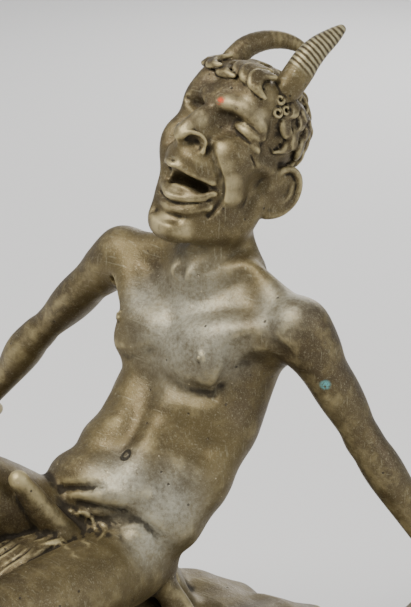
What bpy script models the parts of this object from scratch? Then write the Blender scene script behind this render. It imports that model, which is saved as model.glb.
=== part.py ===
"""Laughing faun seated on a rock: a bronze cast in one piece, on a low stone plinth.

Run with: blender --background --python part.py
The bronze is modelled as a sculptor works in clay: soft forms are laid on a grid of signed
distances, blended into each other, carved with grooves and hollows, and skinned.
Axes: +X is the faun's left, -Y is the way he faces, +Z is up. Blender units are metres.
Sizes are in millimetres. A place on the body is (left, front, up) of the middle of the
hips, and one on the head is (left, front, up) of the point between the ears.
"""

import math

import bpy
import numpy as np

MM = 0.001

# Plinth: a slab of dark stone with chamfered edges
PLINTH_WIDTH = 250.0
PLINTH_DEPTH = 236.0
PLINTH_HEIGHT = 20.0
PLINTH_CORNER = 10.0
PLINTH_CHAMFER = 2.5
SEAT_GAP = 0.3  # between the stone's top and the cast's underside
MARGIN = 7.0  # stone left bare around the cast
EDGE_WAVE = 2.0  # how unevenly the cast's edge runs

# Figure: its pose and proportions are shares of these two sizes
SITTING_HEIGHT = 150.0  # hips to crown
HEAD_LENGTH = 75.4  # chin to crown
BODY = SITTING_HEIGHT / 150.0
HEAD = HEAD_LENGTH / 24.0
CAST_FLOOR = 4.5  # the sheet of ground that joins the rocks
GROUND = -78.0 * BODY  # the cast's underside, from the hips
FIGURE_REACH = 136.0 * BODY  # past the fingertips, knees and elbows, from the hips
HIPS_OFFSET = (9.0, 4.0)  # the hips' middle over the plinth's centre, left and back

# Pose: joints in body shares (left, front, up)
SHOULDER = {1: (47, -50, 80), -1: (-34, -50, 87.5)}
ELBOW = {1: (62.6, -65.3, 38.8), -1: (-73.4, -46.6, 48.3)}
WRIST = {1: (82, -82.3, -2.7), -1: (-102, -46.6, 14.6)}
HIP = {1: (15, 0, -1), -1: (-14.6, 0, 1.2)}
KNEE = {1: (12.9, 71.7, 2.7), -1: (-27, 56.3, 45.6)}
ANKLE = {1: (13.6, 76.5, -61), -1: (-29, 59.5, -25.5)}
HEAD_AT = (8.4, -68, 124.4)
HEAD_PITCH, HEAD_YAW, HEAD_ROLL = 36.0, -7.0, -6.0
TOP = HEAD_AT[2] * BODY + 18.5 * HEAD  # past the horn's tip

# Skinning
GRID_STEP = 1.3
CAST_TRIANGLES = 9400
HEAD_FINENESS = 3e-5  # what keeps more triangles on the head
FAR = 12.0


def unit(direction):
    direction = np.asarray(direction, float)
    return direction / np.linalg.norm(direction)


def turn(axis, degrees):
    """A matrix that turns vectors by the right-hand rule about an axis."""
    x, y, z = unit(axis)
    c, s = math.cos(math.radians(degrees)), math.sin(math.radians(degrees))
    skew = np.array([[0, -z, y], [z, 0, -x], [-y, x, 0]])
    return c * np.eye(3) + s * skew + (1 - c) * np.outer((x, y, z), (x, y, z))


def smooth_path(rows, per_span=5):
    """A Catmull-Rom curve through rows of three lengths and a radius."""
    rows = np.array(rows, float)
    if len(rows) == 2:
        return rows
    ends = np.vstack([2 * rows[0] - rows[1], rows, 2 * rows[-1] - rows[-2]])
    curve = []
    for a, b, c, d in zip(ends[:-3], ends[1:-2], ends[2:-1], ends[3:]):
        for t in np.arange(per_span) / per_span:
            curve.append(
                0.5 * (2 * b + (c - a) * t + (2 * a - 5 * b + 4 * c - d) * t**2
                       + (3 * b - a - 3 * c + d) * t**3)
            )
    curve.append(rows[-1])
    return np.array(curve)


class Clay:
    """Signed distances in millimetres on a box grid: negative is inside."""

    def __init__(self, low, high, step):
        self.step = step
        self.axes = [np.arange(a, b + step, step, dtype=np.float32) for a, b in zip(low, high)]
        self.field = np.full([len(a) for a in self.axes], FAR, np.float32)

    def window(self, low, high):
        """The part of the grid in a box, and its coordinates ready to broadcast."""
        cuts = []
        for axis, a, b in zip(self.axes, low, high):
            first, last = np.searchsorted(axis, (a, b))
            cuts.append(slice(max(first - 1, 0), min(last + 1, len(axis))))
        x, y, z = (axis[cut] for axis, cut in zip(self.axes, cuts))
        return tuple(cuts), x[:, None, None], y[None, :, None], z[None, None, :]

    def all(self):
        return self.window([axis[0] for axis in self.axes], [axis[-1] for axis in self.axes])

    def lay(self, cuts, distance, soft):
        """Adds a form, with a fillet of about the width of soft."""
        old = self.field[cuts]
        h = np.maximum(soft - np.abs(old - distance), 0) / soft
        self.field[cuts] = np.minimum(old, distance) - h * h * soft * 0.25

    def cut(self, cuts, distance, soft):
        """Takes a form away, with rounded lips."""
        old = self.field[cuts]
        h = np.maximum(soft - np.abs(old + distance), 0) / soft
        self.field[cuts] = np.maximum(old, -distance) + h * h * soft * 0.25

    def settle(self):
        """Fills each spot where the surface would touch itself along an edge or at a point."""
        filled = -0.05 * self.step
        for _ in range(12):
            inside = self.field < 0
            marks = np.zeros_like(inside)
            low, high = slice(None, -1), slice(1, None)
            for still in range(3):
                pair = [axis for axis in range(3) if axis != still]
                cuts = []
                for ends in ((low, low), (high, high), (low, high), (high, low)):
                    cut = [slice(None)] * 3
                    cut[pair[0]], cut[pair[1]] = ends
                    cuts.append(tuple(cut))
                a, b, c, d = (inside[cut] for cut in cuts)
                crossed = (a == b) & (c == d) & (a != c)
                for cut in cuts:
                    marks[cut] |= crossed
            corners = [(i, j, k) for i in (low, high) for j in (low, high) for k in (low, high)]
            count = sum(inside[corner].astype(np.int8) for corner in corners)
            for corner, opposite in zip(corners[:4], corners[:3:-1]):
                alike = inside[corner] == inside[opposite]
                pinched = alike & (count == np.where(inside[corner], 2, 6))
                for cut in corners:
                    marks[cut] |= pinched
            marks &= ~inside
            if not marks.any():
                break
            self.field[marks] = filled

    def skin(self):
        """Points and quads of the surface where the distance is nought (surface nets)."""
        inside = self.field < 0
        corners = [(i, j, k) for i in (0, 1) for j in (0, 1) for k in (0, 1)]
        nx, ny, nz = self.field.shape
        count = sum(inside[i:nx - 1 + i, j:ny - 1 + j, k:nz - 1 + k].astype(np.int8)
                    for i, j, k in corners)
        cells = np.argwhere((count > 0) & (count < 8))
        number = np.full(count.shape, -1, np.int64)
        number[tuple(cells.T)] = np.arange(len(cells))
        total, hits = np.zeros((len(cells), 3)), np.zeros(len(cells))
        for corner in corners:
            for axis in range(3):
                if corner[axis]:
                    continue
                end = list(corner)
                end[axis] = 1
                a = self.field[tuple((cells + corner).T)].astype(float)
                b = self.field[tuple((cells + end).T)].astype(float)
                crossed = (a < 0) != (b < 0)
                spot = np.repeat(np.array(corner, float)[None], len(cells), 0)
                spot[:, axis] = np.where(crossed, a / np.where(crossed, a - b, 1), 0)
                total += spot * crossed[:, None]
                hits += crossed
        spots = cells + total / hits[:, None]
        points = np.stack([np.interp(spots[:, i], np.arange(len(self.axes[i])), self.axes[i])
                           for i in range(3)], 1)
        quads = []
        for axis in range(3):
            u, v = (axis + 1) % 3, (axis + 2) % 3
            near, far = [slice(None)] * 3, [slice(None)] * 3
            near[axis], far[axis] = slice(None, -1), slice(1, None)
            a, b = inside[tuple(near)], inside[tuple(far)]
            edges = np.argwhere(a != b)
            cross = edges[:, (u, v)]
            edges = edges[np.all((cross > 0) & (cross < (count.shape[u], count.shape[v])), 1)]
            out = a[tuple(edges.T)]
            ring = []
            for du, dv in ((-1, -1), (0, -1), (0, 0), (-1, 0)):
                cell = edges.copy()
                cell[:, u] += du
                cell[:, v] += dv
                ring.append(number[tuple(cell.T)])
            ring = np.stack(ring, 1)
            quads.append(np.where(out[:, None], ring, ring[:, ::-1]))
        return largest_piece(points, np.concatenate(quads))


def largest_piece(points, quads):
    """Drops the crumbs and bubbles that float apart from the main surface."""
    label = np.arange(len(points))
    while True:
        lowest = label[quads].min(1)
        fresh = label.copy()
        for corner in range(4):
            np.minimum.at(fresh, quads[:, corner], lowest)
        fresh = fresh[fresh]
        if np.array_equal(fresh, label):
            break
        label = fresh
    keep = label == np.bincount(label).argmax()
    number = np.cumsum(keep) - 1
    return points[keep], number[quads[keep[quads[:, 0]]]]


class Place:
    """A part of the body to model in: its own origin, left, front and up, and its unit."""

    def __init__(self, clay, origin, axes, length):
        self.clay, self.origin, self.axes, self.length = clay, origin, np.array(axes), length

    def at(self, spot):
        return self.origin + self.length * (np.asarray(spot, float) @ self.axes)

    def way(self, direction):
        return unit(np.asarray(direction, float) @ self.axes)

    def stroke(self, rows, soft=2.0, carve=False, per_span=5):
        """A round limb, roll or groove along a path: rows of (left, front, up, radius)."""
        rows = [(*self.at(row[:3]), row[3] * self.length) for row in rows]
        path = smooth_path(rows, per_span)
        soft = soft * self.length
        clay = self.clay
        reach = path[:, 3].max() + soft + clay.step
        cuts, x, y, z = clay.window(path[:, :3].min(0) - reach, path[:, :3].max(0) + reach)
        if 0 in clay.field[cuts].shape:
            return
        nearest = np.full(clay.field[cuts].shape, 1e3, np.float32)
        for a, b in zip(path[:-1].astype(np.float32), path[1:].astype(np.float32)):
            d = b[:3] - a[:3]
            span = max(float(d @ d), 1e-9)
            px, py, pz = x - a[0], y - a[1], z - a[2]
            t = np.clip((px * d[0] + py * d[1] + pz * d[2]) / span, 0, 1)
            away = np.sqrt((px - t * d[0]) ** 2 + (py - t * d[1]) ** 2 + (pz - t * d[2]) ** 2)
            np.minimum(nearest, away - (a[3] + t * (b[3] - a[3])), out=nearest)
        (clay.cut if carve else clay.lay)(cuts, nearest, soft)

    def ovoid(self, spot, radii, along=(1, 0, 0), face=(0, 0, 1), soft=4.0, carve=False):
        """An ellipsoid: its radii run along one way, across it, and where it faces."""
        clay, centre, soft = self.clay, self.at(spot), soft * self.length
        first, face = self.way(along), self.way(face)
        third = unit(face - (face @ first) * first)
        basis = np.array([first, np.cross(third, first), third])
        radii = np.array(radii) * self.length
        half = np.sqrt(((basis * radii[:, None]) ** 2).sum(0)) + soft + clay.step
        cuts, x, y, z = clay.window(centre - half, centre + half)
        if 0 in clay.field[cuts].shape:
            return
        px, py, pz = x - centre[0], y - centre[1], z - centre[2]
        near = far = 0
        for way, radius in zip(basis, radii):
            reach = (px * way[0] + py * way[1] + pz * way[2]) / radius
            near = near + reach**2
            far = far + (reach / radius) ** 2
        near = np.sqrt(near)
        distance = near * (near - 1) / np.maximum(np.sqrt(far), 1e-6)
        (clay.cut if carve else clay.lay)(cuts, distance.astype(np.float32), soft)


def mix(a, b, share):
    return tuple(p + (q - p) * share for p, q in zip(a, b))


def moved(spot, left=0.0, front=0.0, up=0.0):
    return (spot[0] + left, spot[1] + front, spot[2] + up)


def torso(body):
    """Pelvis tipped back, a slack belly, the ribs leaning back and the shoulders pushed up."""
    body.ovoid((0.5, -6, 3), (27.5, 19, 16), face=(0, 0.3, 1), soft=5)
    body.ovoid((2.5, -15, 14), (29, 19, 18), face=(0, -0.64, 0.77), soft=5)
    body.ovoid((4.5, -25.5, 26), (29.5, 20, 22), face=(0, -0.5, 0.86), soft=5)
    body.ovoid((6, -37, 42), (28.5, 20.5, 22), face=(0, -0.42, 0.9), soft=5)
    body.ovoid((6, -46, 60), (27.5, 20.5, 28), face=(0, -0.42, 0.9), soft=5)
    body.ovoid((6.5, -50, 80), (26, 13, 13), along=(1, 0, -0.09), soft=6)
    for side in (1, -1):
        shoulder = SHOULDER[side]
        drop = 1.5 if side > 0 else 0
        body.stroke([(7 + side * 9, -55, 93 - drop, 5), (*mix((7, -55, 91 - drop), shoulder, 0.6), 6.5),
                     (*shoulder, 8)], soft=5)
        body.ovoid((5 + side * 12.5, -32.5, 66), (13, 6.5, 11), along=(1, 0, 0.1 * side),
                   face=(0, -0.3, 1), soft=4)
        body.stroke([(*moved(shoulder, -side * 7, -1, -7), 7), (6 + side * 21, -50, 62, 9),
                     (5 + side * 21, -43, 46, 8), (4 + side * 21, -30, 30, 7)], soft=6)
        body.stroke([(*moved(shoulder, -side * 5, 3, -3), 6), (6 + side * 20, -38, 75, 6.5),
                     (6 + side * 9, -35, 72, 5)], soft=6)
        body.stroke([(5.5 + side * 6, -40.5, 90, 1.6), (6 + side * 18, -46, 91, 2.0),
                     (*moved(shoulder, -side * 5, 0, 5.0), 2.2)], soft=6)
        body.stroke([(4 + side * 7, -22, 49, 4.2), (3 + side * 8, -12, 36, 4.2),
                     (1.5 + side * 8, -1, 22, 4.6)], soft=6)
        body.ovoid((side * 13.5, -12, -4), (12, 12, 12), soft=4)
        body.stroke([(2 + side * 25, -22, 21, 4.5), (side * 23, -12, 17, 4.5),
                     (side * 19, 0, 12, 4)], soft=4)
    body.ovoid((-4, -3, 22), (19, 12, 13), face=(0, 0, 1), soft=5)


def torso_carving(body):
    """The chest's midline, the rib arch, the belly's creases and the navel."""
    body.stroke([(5, -29.5, 91, 3), (5.5, -20, 76, 1.4), (7.5, -17.5, 64, 1.6)], soft=3, carve=True)
    body.stroke([(9, -15, 57, 1.6), (12, -7, 46, 1.2), (13.5, -1, 38, 1)], soft=3, carve=True)
    for side in (1, -1):
        body.stroke([(4 + side * 4, -14.5, 60, 1.0), (3 + side * 15, -18, 52, 1.0),
                     (3 + side * 22, -24, 44, 0.6)], soft=3, carve=True)
        body.stroke([(4 + side * 6, -20, 61.5, 0.8), (4 + side * 17, -24.5, 58, 1),
                     (4 + side * 25, -35, 62, 1.2)], soft=2.4, carve=True)
        body.stroke([(2 + side * 4, 7, 31, 0.6), (2 + side * 12, 5, 25, 0.7),
                     (2 + side * 22, -4, 22, 0.6)], soft=2, carve=True)
        body.stroke([(side * 4, 14, 9, 0.8), (side * 12, 11.5, 12, 0.9),
                     (side * 22, 3, 16, 0.7)], soft=2.5, carve=True)


def arm(body, side):
    """A straight arm that props the body, with its hand spread on the rock."""
    shoulder, elbow, wrist = SHOULDER[side], ELBOW[side], WRIST[side]
    stout = 1.0 if side > 0 else 0.92
    body.ovoid(mix(shoulder, elbow, 0.14), (14, 9.2 * stout, 9.2 * stout),
               along=np.subtract(elbow, shoulder), soft=5)
    body.stroke([(*shoulder, 8.5 * stout), (*mix(shoulder, elbow, 0.45), 7.2 * stout),
                 (*elbow, 5.8 * stout)], soft=4)
    body.ovoid(moved(mix(shoulder, elbow, 0.52), 0, 2, 1), (15, 5.6, 5.6),
               along=np.subtract(elbow, shoulder), soft=4)
    body.ovoid(moved(mix(shoulder, elbow, 0.6), -side * 0.5, -3, 0), (15, 5.4, 5.4),
               along=np.subtract(elbow, shoulder), soft=4)
    body.stroke([(*elbow, 5.8 * stout), (*mix(elbow, wrist, 0.28), 6.9 * stout),
                 (*mix(elbow, wrist, 0.65), 5.6 * stout), (*wrist, 4.2 * stout)], soft=3)
    body.ovoid(moved(mix(elbow, wrist, 0.2), side * 2, 1, 0), (12, 5.2, 5.2),
               along=np.subtract(wrist, elbow), soft=3)
    hand(body, side)


def hand(body, side):
    """A palm pressed on its knob of rock, with the fingers spread down over it."""
    wrist = WRIST[side]
    reach = unit((0.55 * side, -0.78, -0.3)) if side > 0 else unit((-0.86, -0.42, -0.3))
    across = unit(np.cross(reach, (0, 0, 1)))
    wrist = np.array(wrist)
    palm = wrist + 7 * reach + (0, 0, -5)
    body.ovoid(palm, (9.5, 7.5, 4), along=reach, soft=3)
    for finger, (spread, length, radius) in enumerate(
            ((-1.0, 14, 1.9), (-0.36, 17, 2.1), (0.3, 18, 2.1), (0.95, 15.5, 2.1))):
        root = palm + 7.5 * reach + spread * 6 * across
        tip = root + length * unit(reach + 0.32 * spread * across) + (0, 0, -5.5)
        knuckle = (root + tip) / 2 + (0, 0, 2.4)
        body.stroke([(*root, radius + 0.5), (*knuckle, radius + 0.1), (*tip, radius - 0.3)],
                    soft=1.2)
    thumb = palm - 2 * reach + side * 7 * across
    body.stroke([(*thumb, 2.8), (*(thumb + 6 * reach + side * 5 * across), 2.5),
                 (*(thumb + 13 * reach + side * 6 * across + (0, 0, -3)), 2)], soft=1.5)


def leg(body, side):
    """Smooth thigh, knee, shin with its calf, and a bare foot flat on the rock."""
    hip, knee, ankle = HIP[side], KNEE[side], ANKLE[side]
    body.stroke([(*hip, 15), (*mix(hip, knee, 0.35), 14.4), (*mix(hip, knee, 0.75), 11.6),
                 (*knee, 9.6)], soft=5)
    body.ovoid(moved(mix(hip, knee, 0.5), side * 2, 0, -2), (27, 12, 12),
               along=np.subtract(knee, hip), soft=5)
    body.ovoid(moved(knee, 0, 3, 1), (7.5, 7, 8.5), soft=4)
    shin = np.subtract(ankle, knee)
    body.stroke([(*knee, 9.3), (*mix(knee, ankle, 0.3), 8.2), (*mix(knee, ankle, 0.7), 6),
                 (*moved(ankle, 0, -1, 2), 4.9)], soft=4)
    body.ovoid(moved(mix(knee, ankle, 0.3), side, -4.5, 0), (20, 7.2, 7.2), along=shin, soft=5)
    body.stroke([(*moved(knee, 0, 7, -4), 2.6), (*moved(mix(knee, ankle, 0.5), 0, 4.5, 0), 2),
                 (*moved(ankle, -side, 3.5, 4), 1.6)], soft=3)
    body.ovoid(moved(ankle, -side * 4.6, 0, 1), (2.6, 2.8, 2.8), soft=2)
    body.ovoid(moved(ankle, side * 4.6, -1, -1), (2.4, 2.6, 2.8), soft=2)
    foot(body, side)


def foot(body, side):
    """A heel, an arch and five toes, the foot turned a little outward."""
    ankle = np.array(ANKLE[side], float)
    ahead = unit((0.16 * side, 1, -0.02))
    across = unit((1, -0.16 * side, 0))
    sole = ankle + (0, 0, -9)
    body.stroke([(*(ankle - 8 * ahead + (0, 0, -6.5)), 5.6), (*(sole + 6 * ahead), 4.6)], soft=4)
    body.stroke([(*(ankle + (0, 0, -1)), 5.6), (*(sole + 14 * ahead + (0, 0, 3.6)), 5.2),
                 (*(sole + 25 * ahead + (0, 0, -0.5)), 4)], soft=4)
    body.ovoid(sole + 22 * ahead + (0, 0, -1), (8.6, 8, 4), along=across, soft=3)
    for toe in range(5):
        spread = -side * (6.6 - 3.3 * toe)
        reach = (36, 36.5, 35, 33, 30)[toe]
        radius = (2.9, 2.1, 2.0, 1.9, 1.8)[toe]
        root = sole + 25 * ahead + spread * across + (0, 0, -0.6)
        tip = sole + reach * ahead + spread * 1.12 * across + (0, 0, -2.1)
        knuckle = (root + tip) / 2 + (0, 0, 1.1)
        body.stroke([(*root, radius + 0.5), (*knuckle, radius), (*tip, radius)], soft=1.1)


def loins(body):
    """The plain, tapered member that rises against the raised thigh, and its pouch."""
    body.ovoid((0.5, 13, 4), (6.5, 6, 5.5), soft=3)
    body.stroke([(0, 14, 8, 3.6), (-1, 20.5, 18, 3), (-3, 28, 29, 3), (-4, 34, 38, 2.9)], soft=2)


def neck(body):
    """A short throat thrown back under the jaw, with the two cords to the collar."""
    base, top = np.array((6.5, -49, 90.0)), np.array((7, -55, 110.0))
    body.stroke([(*base, 11.5), (*((base + top) / 2), 9.5), (*top, 9.5)], soft=4)
    for side in (1, -1):
        body.stroke([(7.5 + side * 8.5, -57, 109, 3), (6.8 + side * 6.5, -45, 100, 2.8),
                     (5.5 + side * 3, -36, 92, 2)], soft=3)
        body.stroke([(7 + side * 5, -58, 105, 4), (7 + side * 12, -56, 93, 5)], soft=5)
    body.ovoid((6.8, -41, 98.5), (3, 3, 4), soft=3)


def skull(head):
    """Cranium, a broad boxy forehead, cheekbones, the muzzle and the long jaw."""
    head.ovoid((0, 2.2, 4.0), (5.3, 5.9, 5.7), soft=1)
    head.ovoid((0, 4.4, 4.2), (4.9, 4.7, 4.8), soft=1)
    head.ovoid((0, 3.4, -1.0), (4.7, 4.9, 6.0), soft=1)
    head.ovoid((0, 2.2, -6.4), (4.0, 4.3, 3.6), soft=1)
    head.ovoid((0, 5.8, -3.7), (3.7, 3.4, 2.1), soft=1)
    head.ovoid((0, 4.5, -6.6), (3.5, 3.0, 2.9), soft=1.2)
    head.ovoid((0, 5.5, -10.3), (1.9, 1.6, 1.4), soft=1)
    head.ovoid((-3.7, 7.0, 4.1), (2.0, 2.2, 3.0), soft=1.2)
    head.ovoid((-3.7, 6.6, 6.2), (1.8, 2.0, 2.0), soft=1.2)
    for side in (1, -1):
        head.ovoid((side * 3.0, 6.2, 5.9), (2.1, 2.2, 2.3), soft=1)
        head.stroke([(side * 4.4, 0.4, -3.7, 1.4), (side * 4.1, 1.0, -6.9, 1.4),
                     (side * 2.8, 3.6, -9.2, 1.2), (side * 1.1, 5.4, -10.4, 1.1)], soft=1.6)
        head.ovoid((side * 3.6, 5.7, -0.6), (1.6, 1.9, 1.7), soft=1.4)
        head.stroke([(side * 4.0, 5.6, -0.2, 0.9), (side * 4.6, 3.6, 0.2, 0.8),
                     (side * 4.8, 1.4, 0.1, 0.7)], soft=1.4)
        head.ovoid((side * 6.2, 3.9, 2.2), (0.9, 1.8, 1.7), soft=1.4, carve=True)


def brow_and_eyes(head):
    """Heavy arched brows over two eyes squeezed shut by the laugh."""
    head.ovoid((0, 8.3, 3.9), (1.4, 0.9, 1.1), soft=1)
    for side in (1, -1):
        head.ovoid((side * 3.3, 8.8, 2.2), (2.1, 2.1, 1.5), soft=0.8, carve=True)
        head.ovoid((side * 4.7, 7.4, 2.2), (1.1, 1.4, 1.1), soft=0.8, carve=True)
        head.stroke([(side * 1.0, 8.8, 3.6, 0.5), (side * 2.3, 8.4, 4.2, 0.65),
                     (side * 3.9, 7.3, 4.3, 0.7), (side * 4.8, 5.9, 3.8, 0.6),
                     (side * 4.9, 5.0, 3.0, 0.4)], soft=1)
        head.ovoid((side * 3.8, 5.9, 2.1), (1.8, 1.1, 0.85), along=(1, -0.45 * side, 0),
                   face=(0, 0, 1), soft=0.4)
        head.ovoid((side * 3.8, 5.8, 1.2), (1.8, 1.1, 0.7), along=(1, -0.45 * side, 0),
                   face=(0, 0, 1), soft=0.5)
        head.stroke([(side * 2.5, 7.3, 2.1, 0.08), (side * 3.3, 7.15, 1.8, 0.15),
                     (side * 4.2, 6.65, 1.65, 0.14), (side * 4.9, 6.1, 1.7, 0.06)],
                    soft=0.2, carve=True)


def nose(head):
    """A straight nose with a full tip and arched wings."""
    head.stroke([(0, 8.3, 3.6, 0.6), (0, 9.0, 2.2, 0.6), (0, 9.6, 0.8, 0.7),
                 (0, 10.3, -1.0, 0.95)], soft=0.9)
    head.ovoid((0, 8.3, 0.5), (1.5, 1.4, 2.2), soft=1)
    head.ovoid((0, 8.9, -1.7), (1.6, 1.5, 0.9), soft=0.6)
    for side in (1, -1):
        head.ovoid((side * 1.1, 10.1, -2.1), (0.6, 0.9, 0.55), soft=0.3, carve=True)
        head.stroke([(side * 0.5, 10.8, -1.7, 0.3), (side * 1.0, 10.6, -1.0, 0.42),
                     (side * 1.7, 9.8, -0.75, 0.45), (side * 2.1, 9.0, -1.0, 0.4),
                     (side * 2.1, 8.6, -1.8, 0.3)], soft=0.35)


def mouth(head):
    """The mouth wide open in a laugh, with its lips, tongue and cheek folds."""
    for side in (1, -1):
        head.stroke([(side * 2.9, 6.8, -0.6, 1.0), (side * 3.6, 5.4, -2.2, 1.4),
                     (side * 3.7, 4.0, -4.0, 1.4), (side * 3.6, 3.4, -6.0, 1.2)], soft=1.4)
        head.stroke([(side * 2.7, 8.4, -1.3, 0.12), (side * 3.9, 7.3, -2.6, 0.2),
                     (side * 4.6, 5.9, -3.9, 0.22), (side * 4.5, 4.9, -5.4, 0.18),
                     (side * 3.8, 4.7, -7.2, 0.1)], soft=0.5, carve=True)
        head.stroke([(side * 3.1, 6.9, -1.0, 0.9), (side * 4.2, 5.2, -2.5, 1.0),
                     (side * 4.3, 3.7, -4.2, 0.9)], soft=0.8)
    head.ovoid((0, 7.6, -3.7), (2.4, 1.7, 1.1), soft=1)
    head.stroke([(-3.2, 7.2, -4.9, 0.3), (-1.6, 8.7, -5.5, 0.75), (0, 9.2, -5.8, 0.95),
                 (2.6, 7.6, -5.3, 0.75), (3.9, 6.0, -4.7, 0.25)], soft=0.4, carve=True)
    head.ovoid((0.2, 6.9, -5.6), (2.3, 2.2, 1.05), soft=0.4, carve=True)
    head.ovoid((0, 6.4, -6.7), (1.7, 2.1, 0.75), face=(0, -0.25, 1), soft=0.4)
    head.stroke([(-3.9, 6.4, -4.3, 0.25), (-2.5, 8.2, -4.45, 0.4), (-0.8, 9.5, -4.65, 0.48),
                 (0, 9.6, -4.75, 0.42), (0.8, 9.5, -4.65, 0.48), (2.5, 8.2, -4.45, 0.4),
                 (3.9, 6.4, -4.3, 0.25)], soft=0.5)
    head.stroke([(-3.9, 5.8, -4.9, 0.35), (-2.5, 6.9, -6.6, 0.6), (0, 7.6, -7.3, 0.7),
                 (2.5, 6.9, -6.6, 0.6), (3.9, 5.8, -4.9, 0.35)], soft=0.7)
    head.stroke([(-2.6, 6.0, -7.9, 0.5), (0, 6.8, -8.6, 0.5), (2.6, 6.0, -7.9, 0.5)], soft=0.5)
    head.stroke([(-1.9, 6.3, -9.3, 0.15), (0, 6.8, -9.5, 0.2), (1.9, 6.3, -9.3, 0.15)],
                soft=0.8, carve=True)


def ear(head, side):
    """A large ear with a rolled rim, a deep shell and a pointed top."""
    head.ovoid((side * 4.5, -0.8, -1.3), (1.4, 2.2, 2.8), soft=0.6)
    head.ovoid((side * 5.4, -1.3, -1.3), (0.6, 1.7, 2.6), along=(side * 1, 0.25, 0),
               face=(0, 0, 1), soft=0.5)
    head.stroke([(side * 5.1, 0.5, -0.6, 0.3), (side * 5.4, 0.2, 0.9, 0.36),
                 (side * 5.8, -0.8, 1.5, 0.4), (side * 6.1, -2.0, 0.8, 0.4),
                 (side * 6.1, -2.8, -1.0, 0.38), (side * 5.8, -2.4, -2.9, 0.38),
                 (side * 5.3, -0.9, -4.1, 0.5), (side * 4.9, 0.0, -3.6, 0.4)], soft=0.35)
    head.ovoid((side * 6.3, -1.0, -0.7), (0.6, 1.0, 1.5), soft=0.4, carve=True)
    head.stroke([(side * 5.7, -1.6, 0.4, 0.22), (side * 5.9, -1.9, -1.2, 0.26),
                 (side * 5.5, -1.1, -2.9, 0.26)], soft=0.25)
    head.ovoid((side * 5.2, 0.5, -1.5), (0.45, 0.4, 0.6), soft=0.35)


def horn(head, side):
    """A ringed horn: the left one stands up, the right one curls in and back."""
    rise = {1: [(3.9, 4.4, 8.4, 1.6), (4.2, 4.5, 10.6, 1.6), (4.3, 4.5, 12.2, 1.5),
                (4.4, 4.1, 13.9, 1.3), (4.6, 3.4, 15.6, 0.95), (4.8, 2.9, 17.0, 0.5)],
            -1: [(-4.5, 5.6, 8.6, 1.35), (-4.5, 4.9, 10.6, 1.25), (-4.1, 3.5, 12.3, 1.12),
                 (-3.3, 1.9, 13.4, 0.95), (-2.4, 0.5, 13.8, 0.75), (-1.5, -0.6, 13.7, 0.45)]}
    path = smooth_path(rise[side], 9)
    path[:, 3] += 0.08 * np.cos(np.arange(len(path)) * 2 * math.pi / 4.5)
    head.stroke(path, soft=0.4, per_span=1)


def hair(head):
    """Short curls over the crown and waves down the back, as commas laid all round."""
    golden = math.pi * (3 - math.sqrt(5))
    fall = np.array((0, -0.5, -1.0))
    count = 130
    for i in range(count):
        rise = 1 - 2 * (i + 0.5) / count
        ring = math.sqrt(1 - rise * rise)
        way = np.array((ring * math.sin(i * golden), ring * math.cos(i * golden), rise))
        on_face = way[1] > 0.3 and way[2] < 0.62 + 0.1 * abs(way[0])
        by_ear = abs(way[0]) > 0.8 and way[2] < -0.25
        if on_face or by_ear or way[2] < -0.7:
            continue
        root = np.array((0, 2.2, 4.0)) + way * (5.3, 5.9, 5.7)
        down = unit(fall - way * (way @ fall))
        bend = np.cross(way, down) * (1 if i % 2 else -1)
        head.stroke([(*(root - 1.0 * down), 0.5), (*(root + 0.7 * bend + 0.35 * way), 0.7),
                     (*(root + 1.1 * down), 0.6), (*(root + 1.5 * down - 0.8 * bend), 0.35)],
                    soft=0.35, per_span=3)


def smooth_weights(axis, size, count, start):
    """How much each of a row of knots, one size apart, weighs at each place on an axis."""
    place = (axis - start) / size
    near = np.clip(np.floor(place).astype(int), 0, count - 2)
    share = np.clip(place - near, 0, 1)
    share = share * share * (3 - 2 * share)
    weights = np.zeros((len(axis), count), np.float32)
    weights[np.arange(len(axis)), near] = 1 - share
    weights[np.arange(len(axis)), near + 1] = share
    return weights


def lumps(clay, size, seed):
    """Soft random lumps of about one size over the whole grid, between -1 and 1."""
    size = size * BODY
    counts = [int((axis[-1] - axis[0]) / size) + 3 for axis in clay.axes]
    knots = np.random.default_rng(seed).uniform(-1, 1, counts).astype(np.float32)
    for axis in clay.axes:
        weights = smooth_weights(axis, size, knots.shape[0], axis[0] - size / 2)
        knots = np.tensordot(knots, weights, ([0], [1]))
    return knots


def boulder(clay, spot, radii, seed, soft=4.0, faces=16):
    """A block of rock: random flat facets that each just miss an ellipsoid."""
    rng = np.random.default_rng(seed)
    ways = rng.normal(size=(faces, 3))
    ways = np.vstack([ways / np.linalg.norm(ways, axis=1)[:, None], ((0, 0, 1.0),)])
    centre = np.array((spot[0], -spot[1], spot[2])) * BODY
    radii = np.array(radii) * BODY
    cuts, x, y, z = clay.window(centre - radii - 6, centre + radii + 6)
    px, py, pz = x - centre[0], y - centre[1], z - centre[2]
    distance = (np.sqrt((px / radii[0]) ** 2 + (py / radii[1]) ** 2 + (pz / radii[2]) ** 2)
                - 1) * radii.min()
    for way in ways:
        reach = np.linalg.norm(way * radii) * (0.78 + 0.14 * rng.random())
        distance = np.maximum(distance, px * way[0] + py * way[1] + pz * way[2] - reach)
    clay.lay(cuts, distance.astype(np.float32), soft * BODY)


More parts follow.
